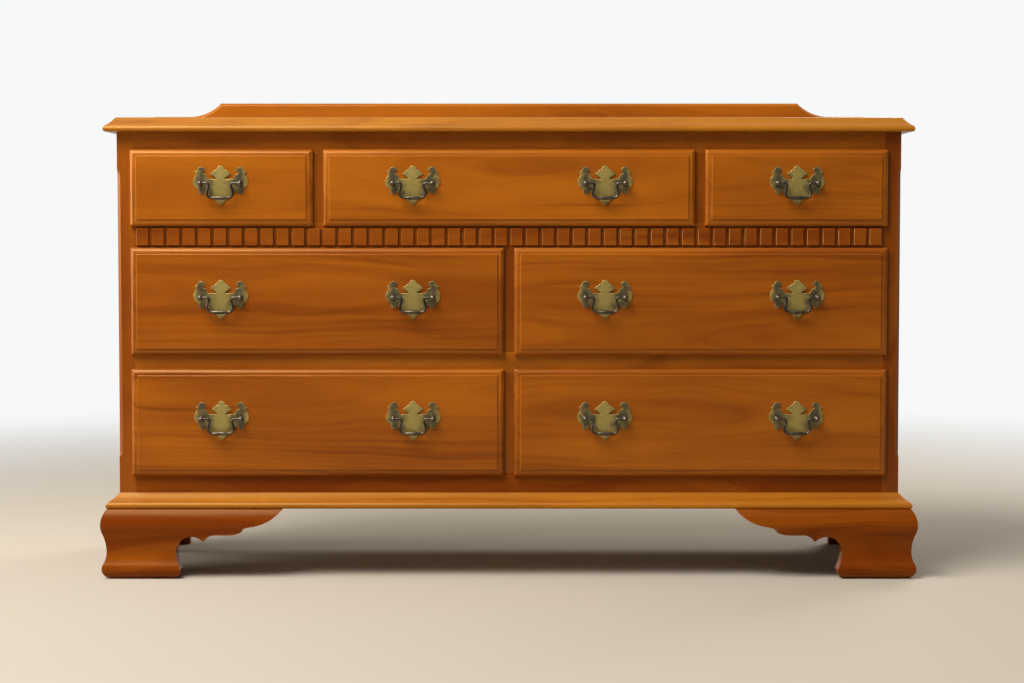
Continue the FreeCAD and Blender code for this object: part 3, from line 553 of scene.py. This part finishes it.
def boards_mesh(node, edge_round):
    """A node's boards with joined faces and their long edges marked for rounding."""
    flat = math.radians(0.4)
    sharp = math.radians(35)
    # The many short edges of a scrolled foot aren't rounded
    shortest = (24 if node in FEET else 3) * edge_round
    bm = bmesh.new()
    bm.verts.layers.float_vector.new("grain")
    bm.verts.layers.float.new("tone")
    draw = random.Random(node)
    for shell in closed_shells(node):
        add_board(bm, shell, draw, STAIN_AND_SHADE_OF.get(node, USUAL_STAIN))
    bmesh.ops.dissolve_limit(bm, angle_limit=flat, verts=bm.verts, edges=bm.edges)
    weight = bm.edges.layers.float.new("bevel_weight_edge")
    for edge in bm.edges:
        is_sharp = len(edge.link_faces) == 2 and edge.calc_face_angle() > sharp
        is_rounded = is_sharp and edge.calc_length() > shortest
        edge[weight] = 1.0 if is_rounded else 0.0
        edge.smooth = is_rounded or not is_sharp
    for face in bm.faces:
        face.smooth = True
    return mesh_of(bm, node + "_boards")


def soften(mesh, edge_round):
    """Round the weighted edges and mark the new faces as rubbed, for rub and a painted highlight, by way of
    a second material slot.
    """
    item = scene_object(mesh.name, mesh)
    rubbed = 1
    for slot in (0, rubbed):
        mesh.materials.append(None)
    bevel = item.modifiers.new("edges", "BEVEL")
    bevel.width = edge_round
    bevel.segments = 2
    bevel.limit_method = "WEIGHT"
    bevel.use_clamp_overlap = False
    bevel.material = rubbed
    even = item.modifiers.new("shading", "WEIGHTED_NORMAL")
    even.keep_sharp = True
    soft = finished_mesh(item)
    rub = soft.attributes.new("rub", "FLOAT", "FACE")
    for polygon, value in zip(soft.polygons, rub.data):
        value.value = float(polygon.material_index)
        polygon.material_index = 0
    return soft


def dress_wood(node, material, edge_round):
    """Replace a node by its softened boards."""
    mesh = soften(boards_mesh(node, edge_round), edge_round)
    add_piece("dressed_" + node, mesh, material, BODY_OF[node], [node])


def arc(start, end, bulge, fineness=7):
    """Points after start, along an arc, up to end: more of them the rounder it is."""
    if not bulge:
        return [end]
    fewest = 4
    steps = fewest + round(fineness * abs(bulge))
    chord = end - start
    centre = (start + end) / 2 + Vector((-chord.y, chord.x)) * ((bulge * bulge - 1) / (4 * bulge))
    whole = -4 * math.atan(bulge)
    points = []
    for count in range(1, steps + 1):
        points.append(centre + Matrix.Rotation(whole * count / steps, 2) @ (start - centre))
    return points


def plate_outline(shape):
    """The whole edge of a back plate, clockwise from its pendant's point."""
    left = []
    for across, up, bulge in PLATE_EDGE:
        reach = shape.plate_rise if up > 0 else shape.plate_drop
        corner = Vector((across * shape.plate_half, up * reach))
        left += arc(left[-1], corner, bulge) if left else [corner]
    right = [Vector((-point.x, point.y)) for point in reversed(left[1:-1])]
    return left + right


def plate_slab(shape):
    """A flat plate with a rounded rim, lying down."""
    outline = bpy.data.curves.new("plate_outline", "CURVE")
    outline.dimensions = "2D"
    outline.fill_mode = "BOTH"
    outline.extrude = shape.plate_thick / 2 - shape.plate_rim
    outline.bevel_depth = shape.plate_rim
    outline.bevel_resolution = 2
    outline.offset = -shape.plate_rim
    spline = outline.splines.new("POLY")
    points = plate_outline(shape)
    spline.points.add(len(points) - 1)
    for spot, point in zip(spline.points, points):
        spot.co = (point.x, point.y, 0.0, 1.0)
    spline.use_cyclic_u = True
    return finished_mesh(scene_object("plate_outline", outline))


def slice_plate(bm, shape):
    """Cut a plate into small squares, so that it can swell and its wear can change across it."""
    spacing = 0.004
    snap = 2e-5
    for axis, half in ((Vector((1, 0, 0)), shape.plate_half), (Vector((0, 0, 1)), shape.plate_drop)):
        count = int(half / spacing)
        for place in range(-count, count + 1):
            everything = bm.verts[:] + bm.edges[:] + bm.faces[:]
            bmesh.ops.bisect_plane(bm, geom=everything, dist=snap, plane_co=axis * (place * spacing),
                                   plane_no=axis)


def plate_wear(shape, place):
    """How far a plate is rubbed bright: most in the middle, least round the posts and at the foot."""
    middle_width = 0.36
    outer_start = 0.74
    outer_width = 0.18
    least = 0.15
    aside = abs(place.x) / shape.plate_half
    middle = math.exp(-(aside / middle_width) ** 2)
    outer = min(1.0, max(0.0, (aside - outer_start) / outer_width))
    below = min(1.0, 2.2 + 1.9 * place.z / shape.plate_drop)
    return below * (least + (1.0 - least) * middle) + 0.5 * outer


def plate_swell(shape, place):
    """How far a plate's middle stands out, as a share of its dome."""
    dome_below = 0.004
    reach = Vector((0.75 * shape.plate_half, 1.05 * shape.plate_rise))
    off = (place.x / reach.x) ** 2 + ((place.z + dome_below) / reach.y) ** 2
    swell = max(0.0, 1.0 - off)
    return swell * swell * (3 - 2 * swell)


def plate_mesh(shape):
    """One back plate about its own middle: rounded rim, domed middle and darkening round the posts."""
    same_place = 1e-6
    rim_turn = 0.97
    mesh = plate_slab(shape)
    bm = bmesh.new()
    bm.from_mesh(mesh)
    upright = Matrix.Translation((0, -shape.plate_thick / 2, 0)) @ Matrix.Rotation(math.radians(90), 4, "X")
    bmesh.ops.transform(bm, matrix=upright, verts=bm.verts)
    bmesh.ops.remove_doubles(bm, verts=bm.verts, dist=same_place)
    slice_plate(bm, shape)
    bmesh.ops.recalc_face_normals(bm, faces=bm.faces)
    bm.normal_update()
    wear = bm.verts.layers.float.new("wear")
    rub = bm.faces.layers.float.new("rub")
    for face in bm.faces:
        # The rim faces carry rub and a painted highlight
        face[rub] = 1.0 if abs(face.normal.y) < rim_turn else 0.0
        face.smooth = True
    for vert in bm.verts:
        vert[wear] = plate_wear(shape, vert.co)
        vert.co.y -= shape.plate_dome * plate_swell(shape, vert.co)
    bm.to_mesh(mesh)
    bm.free()
    return mesh


def turned(bm, profile, steps):
    """Turn a profile of (radius, height) about the Y axis; a zero radius closes it."""
    rings = []
    for radius, height in profile:
        if radius == 0:
            rings.append([bm.verts.new((0, height, 0))] * steps)
            continue
        turns = [2 * math.pi * count / steps for count in range(steps)]
        places = [(radius * math.cos(turn), height, radius * math.sin(turn)) for turn in turns]
        rings.append([bm.verts.new(place) for place in places])
    for lower, upper in zip(rings, rings[1:]):
        for count in range(steps):
            after = (count + 1) % steps
            corners = [lower[count], lower[after], upper[after], upper[count]]
            bm.faces.new(list(dict.fromkeys(corners)))


def post_profile(shape):
    """Radius and height along a post, from inside its plate to the top of its ball head."""
    ball = shape.head / 2
    neck = shape.neck / 2
    collar = shape.collar / 2
    sunk = 0.001
    collar_edge = 0.0009
    collar_top = 0.0014
    collar_round = 0.0004
    hollow = 0.0006
    hollow_start = 0.0017
    hollow_end = 0.0024
    profile = [(0, sunk), (collar, sunk / 2), (collar, -collar_edge), (collar - collar_round, -collar_top),
               (neck + hollow, -hollow_start), (neck, -hollow_end),
               (neck, -shape.post_axis + math.sqrt(ball ** 2 - neck ** 2))]
    start = math.asin(neck / ball)
    ball_steps = 10
    for count in range(1, ball_steps):
        turn = start + (math.pi - start) * count / ball_steps
        profile.append((ball * math.sin(turn), -shape.post_axis + ball * math.cos(turn)))
    profile.append((0, -shape.post_axis - ball))
    return profile


def add_stem_end(bm, shape):
    """Add what shows of a post inside the drawer: the end of its stem and a square nut."""
    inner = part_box("top_left_drawer_front")[1].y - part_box("top_left_pull_plates")[0].y
    stem = shape.stem / 2
    stem_start = inner - 0.001
    stem_end = inner + shape.stem_reach
    stem_round = 0.0004
    nut_round = 0.0005
    turned(bm, [(0, stem_start), (stem, stem_start), (stem, stem_end - stem_round),
                (stem - stem_round, stem_end), (0, stem_end)], steps=16)
    nut = bmesh.ops.create_cube(bm, size=1.0)["verts"]
    bmesh.ops.scale(bm, vec=(shape.nut, shape.nut_thick, shape.nut), verts=nut)
    bmesh.ops.translate(bm, vec=(0, inner + shape.nut_thick / 2, 0), verts=nut)
    nut_edges = list({edge for vert in nut for edge in vert.link_edges})
    bmesh.ops.bevel(bm, geom=nut_edges, offset=nut_round, segments=2, profile=0.5, affect="EDGES")


def post_mesh(shape):
    """One post about the point where it meets its plate, with its nut inside the drawer."""
    bm = bmesh.new()
    turned(bm, post_profile(shape), steps=24)
    add_stem_end(bm, shape)
    bmesh.ops.recalc_face_normals(bm, faces=bm.faces)
    rub = bm.faces.layers.float.new("rub")
    # The front cap of the ball head carries rub and a painted highlight
    rub_and_sheen_from = -shape.post_axis - 0.7 * shape.head / 2
    for face in bm.faces:
        face.smooth = True
        face[rub] = 1.0 if face.calc_center_median().y < rub_and_sheen_from else 0.0
    return mesh_of(bm, "post")


def tree_of(name, **inputs):
    """An empty geometry tree with named inputs and their kinds, and the wires of those inputs."""
    tree = bpy.data.node_groups.new(name, "GeometryNodeTree")
    nodes = Nodes(tree)
    tree.interface.new_socket("Geometry", in_out="OUTPUT", socket_type="NodeSocketGeometry")
    for label, kind in inputs.items():
        tree.interface.new_socket(label, in_out="INPUT", socket_type="NodeSocket" + kind)
    entry = nodes.add("NodeGroupInput")
    return nodes, {label: entry.also(label) for label in inputs}


def close_tree(nodes, geometry):
    """End a tree: realise the copies and hand them out."""
    real = nodes.add("GeometryNodeRealizeInstances", {"Geometry": geometry})
    way_out = nodes.tree.interface.items_tree["Geometry"].identifier
    nodes.add("NodeGroupOutput", {way_out: real})


def run_tree(tree, name, data, values):
    """Evaluate a tree on an object's data and return the plain mesh."""
    item = scene_object(name, data)
    modifier = item.modifiers.new("maker", "NODES")
    modifier.node_group = tree
    for socket in tree.interface.items_tree:
        if socket.in_out == "INPUT" and socket.name in values:
            modifier[socket.identifier] = values[socket.name]
    return finished_mesh(item)


def copies_tree():
    """Copies of one object on every point of a mesh."""
    nodes, entry = tree_of("copies_on_points", Points="Geometry", Piece="Object")
    close_tree(nodes, nodes.scatter(entry["Points"], entry["Piece"]))
    return nodes.tree


def copies(name, places, piece_mesh):
    """One mesh of a piece repeated at several places."""
    tree = bpy.data.node_groups.get("copies_on_points") or copies_tree()
    points = bpy.data.meshes.new(name + "_points")
    points.from_pydata(places, [], [])
    piece = scene_object(name + "_piece", piece_mesh)
    mesh = run_tree(tree, name, points, {"Piece": piece})
    bpy.data.objects.remove(piece)
    return mesh


def pulls_of(drawer):
    """Pull centres on a drawer, at the height and depth of the bails' pins."""
    return [HINGE_AT[joint["child"]] for joint in frame["joints"]
            if joint["parent"] == drawer and joint["type"] == "hinge"]


def bail_path(shape):
    """Left half of a bail from its pin to the middle of its grip."""
    splay = shape.bail_splay
    curl = 1 + math.sin(splay)
    bend = math.tan((math.pi / 2 + splay) / 4)
    start = shape.post_half - shape.bail_set
    elbow = start - shape.bail_elbow * math.cos(splay)
    fall = shape.bail_drop - (shape.bail_elbow + shape.bail_corner) * curl
    foot = elbow + fall * math.tan(splay)
    corners = [(-shape.post_half, 0, 0),
               (-start, 0, 0),
               (-elbow, -shape.bail_elbow * curl, bend),
               (-foot, -shape.bail_elbow * curl - fall, 0),
               (-foot + shape.bail_corner * math.cos(splay), -shape.bail_drop, -bend)]
    points = []
    for across, up, bulge in corners:
        corner = Vector((across, up))
        points += arc(points[-1], corner, bulge, fineness=12) if points else [corner]
    grip_steps = 8
    edge = points[-1].x
    for count in range(1, grip_steps + 1):
        points.append(Vector((edge * (1 - count / grip_steps), -shape.bail_drop)))
    return points


def bail_tree():
    """A round bar along a curve, as thick as the curve says, moved to its place."""
    nodes, entry = tree_of("bar_on_curve", Curve="Geometry", Sides="Int", Place="Vector")
    ring = nodes.add("GeometryNodeCurvePrimitiveCircle", {"Resolution": entry["Sides"], "Radius": 1.0})
    thick = nodes.add("GeometryNodeInputRadius")
    bar = nodes.add("GeometryNodeCurveToMesh",
                    {"Curve": entry["Curve"], "Profile Curve": ring, "Scale": thick, "Fill Caps": True})
    smooth = nodes.add("GeometryNodeSetShadeSmooth", {"Geometry": bar})
    placed = nodes.add("GeometryNodeTransform", {"Geometry": smooth, "Translation": entry["Place"]})
    close_tree(nodes, placed)
    return nodes.tree


def bail_curve(shape):
    """The line of a bail with its thickness at every point."""
    grip_top = -shape.bail_drop + 0.002
    left = bail_path(shape)
    points = left + [Vector((-point.x, point.y)) for point in reversed(left[:-1])]
    line = bpy.data.curves.new("bail_line", "CURVE")
    line.dimensions = "3D"
    spline = line.splines.new("POLY")
    spline.points.add(len(points) - 1)
    for spot, point in zip(spline.points, points):
        swell = max(0.0, 1 - (2 * point.x / shape.grip_length) ** 2) if point.y < grip_top else 0.0
        spot.co = (point.x, 0.0, point.y, 1.0)
        spot.radius = (shape.wire + (shape.grip - shape.wire) * swell) / 2
    return line


def dentil_tree():
    """Teeth side by side on a strip, with grain along the strip."""
    nodes, entry = tree_of("dentil_band", Strip="Geometry", Tooth="Object", Count="Int", Pitch="Vector",
                           First="Vector", Tone="Float")
    line = nodes.add("GeometryNodeMeshLine",
                     {"Count": entry["Count"], "Start Location": entry["First"], "Offset": entry["Pitch"]})
    teeth = nodes.scatter(line, entry["Tooth"])
    joined = nodes.add("GeometryNodeJoinGeometry", {"Geometry": [entry["Strip"], teeth]})
    band = nodes.add("GeometryNodeRealizeInstances", {"Geometry": joined})
    place = nodes.add("GeometryNodeInputPosition")
    across = nodes.add("ShaderNodeSeparateXYZ", {"Vector": place}, out="X")
    heart = 0.6
    grain = nodes.add("ShaderNodeCombineXYZ",
                      {"X": across, "Y": across.also("Z") - heart, "Z": across.also("Y")})
    marked = nodes.store(band, "grain", grain, "FLOAT_VECTOR")
    toned = nodes.store(marked, "tone", entry["Tone"], "FLOAT")
    close_tree(nodes, toned)
    return nodes.tree


def rounded_block(name, size, edge_round):
    """A block about its own middle with rounded edges, marked as rubbed on them, for rub and a painted
    highlight.
    """
    bm = bmesh.new()
    bmesh.ops.create_cube(bm, size=1.0)
    bmesh.ops.scale(bm, vec=size, verts=bm.verts)
    rub = bm.faces.layers.float.new("rub")
    made = bmesh.ops.bevel(bm, geom=bm.edges[:], offset=edge_round, segments=1, profile=0.5, affect="EDGES")
    for face in made["faces"]:
        face[rub] = 1.0
    return mesh_of(bm, name)


def nail_tree():
    """Nail heads spaced along a line of edges."""
    nodes, entry = tree_of("nails_on_line", Line="Geometry", Nail="Object", Spacing="Float")
    path = nodes.add("GeometryNodeMeshToCurve", {"Mesh": entry["Line"]})
    points = nodes.add("GeometryNodeCurveToPoints", {"Curve": path, "Length": entry["Spacing"]},
                       out="Points", mode="LENGTH")
    close_tree(nodes, nodes.scatter(points, entry["Nail"]))
    return nodes.tree


def nail_mesh(shape):
    """One low nail head about the point where it meets the panel."""
    radius = shape.nail_head / 2
    proud = shape.nail_proud
    sunk = 0.0004
    bm = bmesh.new()
    profile = [(0, proud), (radius * 0.6, proud * 5 / 6), (radius, proud / 3), (radius, -sunk), (0, -sunk)]
    turned(bm, profile, steps=10)
    bmesh.ops.recalc_face_normals(bm, faces=bm.faces)
    return mesh_of(bm, "nail")


def nail_line(shape):
    """The line round the back panel on which its nails stand."""
    low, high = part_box("back_panel")
    inset = shape.nail_head
    left, right = low.x + inset, high.x - inset
    floor, top = low.z + inset, high.z - inset
    line = bpy.data.meshes.new("nail_line")
    corners = [(left, high.y, floor), (right, high.y, floor), (right, high.y, top), (left, high.y, top)]
    line.from_pydata(corners, [(0, 1), (1, 2), (2, 3), (3, 0)], [])
    return line


# Operators, one for each kind of piece

class CHEST_OT_stained_wood(bpy.types.Operator):
    """Softened, stained boards for the case and the drawer fronts"""
    bl_idname = "chest.stained_wood"
    bl_label = "Stained wood"

    def execute(self, context):
        edge_round = context.scene.chest_shape.edge_round
        for node in STAINED:
            if node != "dentil_moulding":
                maker = dull_wood if node in DULL else stained_wood
                dress_wood(node, finish_material(context, maker), edge_round)
        return {"FINISHED"}


class CHEST_OT_bare_wood(bpy.types.Operator):
    """Unfinished boards: drawer boxes, runners, bottom and back"""
    bl_idname = "chest.bare_wood"
    bl_label = "Bare wood"

    def execute(self, context):
        material = finish_material(context, bare_wood)
        for node in UNSTAINED:
            dress_wood(node, material, context.scene.chest_shape.edge_round)
        return {"FINISHED"}


class CHEST_OT_dentil_band(bpy.types.Operator):
    """The band of dentils under the top row of drawers"""
    bl_idname = "chest.dentil_band"
    bl_label = "Dentil band"

    def execute(self, context):
        shape = context.scene.chest_shape
        material = finish_material(context, stained_wood)
        low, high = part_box("dentil_moulding")
        size = high - low
        pitch = (size.x + shape.dentil_gap) / shape.dentil_count
        tooth_size = Vector((pitch - shape.dentil_gap, size.y - shape.dentil_back, size.z))
        tooth = scene_object("tooth", rounded_block("tooth", tooth_size, shape.edge_round))
        strip = rounded_block("strip", Vector((size.x, shape.dentil_back, size.z)), shape.edge_round / 2)
        middle = (low + high) / 2
        strip.transform(Matrix.Translation((middle.x, high.y - shape.dentil_back / 2, middle.z)))
        # The dentils take the dentil rail's share of dark stain, which paints shade onto them
        values = {"Tooth": tooth, "Count": shape.dentil_count, "Pitch": (pitch, 0.0, 0.0),
                  "First": (low.x + tooth_size.x / 2, low.y + tooth_size.y / 2, middle.z),
                  "Tone": STAIN_AND_SHADE_OF["dentil_rail"]}
        mesh = run_tree(dentil_tree(), "dentils", strip, values)
        bpy.data.objects.remove(tooth)
        add_piece("dentils", mesh, material, "case", ["dentil_moulding"])
        return {"FINISHED"}


class CHEST_OT_back_plates(bpy.types.Operator):
    """Fretted back plates on the drawer fronts"""
    bl_idname = "chest.back_plates"
    bl_label = "Back plates"

    def execute(self, context):
        shape = context.scene.chest_shape
        material = finish_material(context, aged_plate)
        plate = plate_mesh(shape)
        for drawer in DRAWERS:
            node = drawer.replace("_drawer", "_pull_plates")
            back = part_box(node)[1].y
            places = [(spot.x, back, spot.z) for spot in pulls_of(drawer)]
            mesh = copies(drawer + "_plates", places, plate)
            add_piece("plates_" + drawer, mesh, material, drawer, [node])
        return {"FINISHED"}


class CHEST_OT_posts(bpy.types.Operator):
    """Turned posts with ball heads, and their nuts inside the drawers"""
    bl_idname = "chest.posts"
    bl_label = "Posts"

    def execute(self, context):
        shape = context.scene.chest_shape
        material = finish_material(context, antique_brass)
        post = post_mesh(shape)
        for drawer in DRAWERS:
            node = drawer.replace("_drawer", "_pull_posts")
            places = [(spot.x + side * shape.post_half, spot.y + shape.post_axis, spot.z)
                      for spot in pulls_of(drawer) for side in (-1, 1)]
            mesh = copies(drawer + "_posts", places, post)
            add_piece("posts_" + drawer, mesh, material, drawer, [node])
        return {"FINISHED"}


class CHEST_OT_bails(bpy.types.Operator):
    """Bent bails with swelled grips"""
    bl_idname = "chest.bails"
    bl_label = "Bails"

    def execute(self, context):
        shape = context.scene.chest_shape
        material = finish_material(context, antique_brass)
        tree = bail_tree()
        sides = 16
        for bail in BAILS:
            values = {"Sides": sides, "Place": tuple(HINGE_AT[bail])}
            mesh = run_tree(tree, bail + "_line", bail_curve(shape), values)
            add_piece("bent_" + bail, mesh, material, bail, [bail])
        return {"FINISHED"}


class CHEST_OT_back_nails(bpy.types.Operator):
    """Nails that hold the back panel"""
    bl_idname = "chest.back_nails"
    bl_label = "Back nails"

    def execute(self, context):
        shape = context.scene.chest_shape
        material = finish_material(context, nail_steel)
        nail = scene_object("nail", nail_mesh(shape))
        values = {"Nail": nail, "Spacing": shape.nail_gap}
        mesh = run_tree(nail_tree(), "nails", nail_line(shape), values)
        bpy.data.objects.remove(nail)
        add_piece("back_nails", mesh, material, "case")
        return {"FINISHED"}


# Stage

def shown_background(nodes, stage, open_side):
    """How far a ray shows the background, and its colour: mirrored from the front it is a dim room."""
    path = nodes.add("ShaderNodeLightPath", out="Is Camera Ray")
    seen = nodes.maths("MAXIMUM", path, path.also("Is Glossy Ray"))
    seen = nodes.maths("MAXIMUM", seen, path.also("Is Transmission Ray"))
    bright = nodes.maths("MAXIMUM", path, open_side * stage.open_room)
    return seen, nodes.blend(bright, opaque(stage.backdrop, stage.room), opaque(stage.backdrop))


def floor_material(stage):
    """A pale floor that takes the chest's shadow and fades into the backdrop far away."""
    material, nodes = new_material("pale_floor")
    place = nodes.add("ShaderNodeTexCoord", out="Object")
    away = nodes.add("ShaderNodeVectorMath", {"Vector": place}, out="Value", operation="LENGTH")
    depth = nodes.add("ShaderNodeSeparateXYZ", {"Vector": place}, out="Y")
    behind = nodes.step(depth, -2.0, 2.0)
    far = nodes.step(away, 1.2, 4.0)
    seen, shown = shown_background(nodes, stage, behind)
    near_floor = nodes.add("ShaderNodeBsdfDiffuse", {"Color": opaque(stage.floor)})
    haze = nodes.add("ShaderNodeEmission", {"Color": shown})
    shader = nodes.add("ShaderNodeMixShader", {"Fac": far * seen, "Shader": near_floor, "Shader_001": haze})
    nodes.add("ShaderNodeOutputMaterial", {"Surface": shader})
    return material


def studio_world(stage):
    """Even light all round, and a pale backdrop for what the camera and reflections see."""
    world = bpy.data.worlds.new("studio")
    world.use_nodes = True
    nodes = Nodes(world.node_tree)
    towards = nodes.add("ShaderNodeTexCoord", out="Generated")
    height = nodes.add("ShaderNodeSeparateXYZ", {"Vector": towards}, out="Z")
    back_wall = nodes.step(height.also("Y"), -0.7, 0.5)
    ceiling = nodes.step(height, 0.35, 0.85)
    seen, shown = shown_background(nodes, stage, nodes.maths("MAXIMUM", back_wall, ceiling))
    light = nodes.blend(seen, opaque((1.0, 1.0, 1.0), stage.ambient), shown)
    background = nodes.add("ShaderNodeBackground", {"Color": light})
    nodes.add("ShaderNodeOutputWorld", {"Surface": background})
    return world


def floor_mesh(stage):
    """A square of floor that reaches far behind what the camera sees."""
    half_side = 30.0
    bm = bmesh.new()
    bmesh.ops.create_grid(bm, x_segments=1, y_segments=1, size=half_side)
    ground = mesh_of(bm, "floor")
    ground.materials.append(floor_material(stage))
    return ground


def area_lamp(name, stage, power, place, width, height):
    """A soft rectangular lamp that points at the middle of the chest."""
    middle = Vector((0.0, 0.0, 0.45))
    lamp = bpy.data.lights.new(name, "AREA")
    lamp.shape = "RECTANGLE"
    lamp.size = width
    lamp.size_y = height
    lamp.energy = power
    lamp.color = stage.lamp_tint
    item = scene_object(name, lamp)
    item.location = place
    item.rotation_euler = (middle - Vector(place)).to_track_quat("-Z", "Y").to_euler()


def photo_camera(stage):
    """The camera, level but for a small tilt."""
    lens = bpy.data.cameras.new("camera")
    lens.lens = stage.lens
    lens.sensor_width = 36.0
    lens.sensor_fit = "HORIZONTAL"
    camera = scene_object("camera", lens)
    camera.location = stage.camera_place
    camera.rotation_euler = (math.pi / 2 - stage.camera_tilt, 0.0, 0.0)
    return camera


class CHEST_OT_stage(bpy.types.Operator):
    """Floor, soft light and the camera"""
    bl_idname = "chest.stage"
    bl_label = "Stage"

    def execute(self, context):
        scene = context.scene
        stage = scene.chest_stage
        scene_object("floor", floor_mesh(stage))
        scene.world = studio_world(stage)
        area_lamp("key", stage, stage.key_power, place=(-1.7, -1.9, 3.6), width=2.6, height=2.0)
        area_lamp("back", stage, stage.back_power, place=(1.9, 2.4, 2.6), width=1.6, height=1.2)
        area_lamp("side", stage, stage.side_power, place=(-3.2, -0.5, 1.1), width=1.2, height=1.4)
        scene.camera = photo_camera(stage)
        scene.view_settings.view_transform = "Standard"
        return {"FINISHED"}


# Add-on

class CHEST_PT_panel(bpy.types.Panel):
    """The chest's operators, sizes and colours in the sidebar"""
    bl_idname = "CHEST_PT_panel"
    bl_label = "Low chest"
    bl_space_type = "VIEW_3D"
    bl_region_type = "UI"
    bl_category = "Chest"

    def draw(self, context):
        for operator in OPERATORS:
            self.layout.operator(operator.bl_idname)
        for setting, group in GROUPS.items():
            box = self.layout.box()
            for name in group.__annotations__:
                box.prop(getattr(context.scene, setting), name)


OPERATORS = (CHEST_OT_stained_wood, CHEST_OT_bare_wood, CHEST_OT_dentil_band, CHEST_OT_back_plates,
             CHEST_OT_posts, CHEST_OT_bails, CHEST_OT_back_nails, CHEST_OT_stage)
GROUPS = {"chest_shape": ChestShape, "chest_finish": ChestFinish, "chest_stage": ChestStage}
CLASSES = (*GROUPS.values(), *OPERATORS, CHEST_PT_panel)


def register():
    """Make the add-on's classes and its settings known."""
    for item in CLASSES:
        bpy.utils.register_class(item)
    for name, group in GROUPS.items():
        setattr(bpy.types.Scene, name, PointerProperty(type=group))


def unregister():
    """Take the add-on's settings and classes away again."""
    for name in GROUPS:
        delattr(bpy.types.Scene, name)
    for item in reversed(CLASSES):
        bpy.utils.unregister_class(item)


def main():
    """Dress the whole chest and set up its stage."""
    register()
    bpy.ops.chest.stained_wood()
    bpy.ops.chest.bare_wood()
    bpy.ops.chest.dentil_band()
    bpy.ops.chest.back_plates()
    bpy.ops.chest.posts()
    bpy.ops.chest.bails()
    bpy.ops.chest.back_nails()
    bpy.ops.chest.stage()


if __name__ == "__main__":
    main()
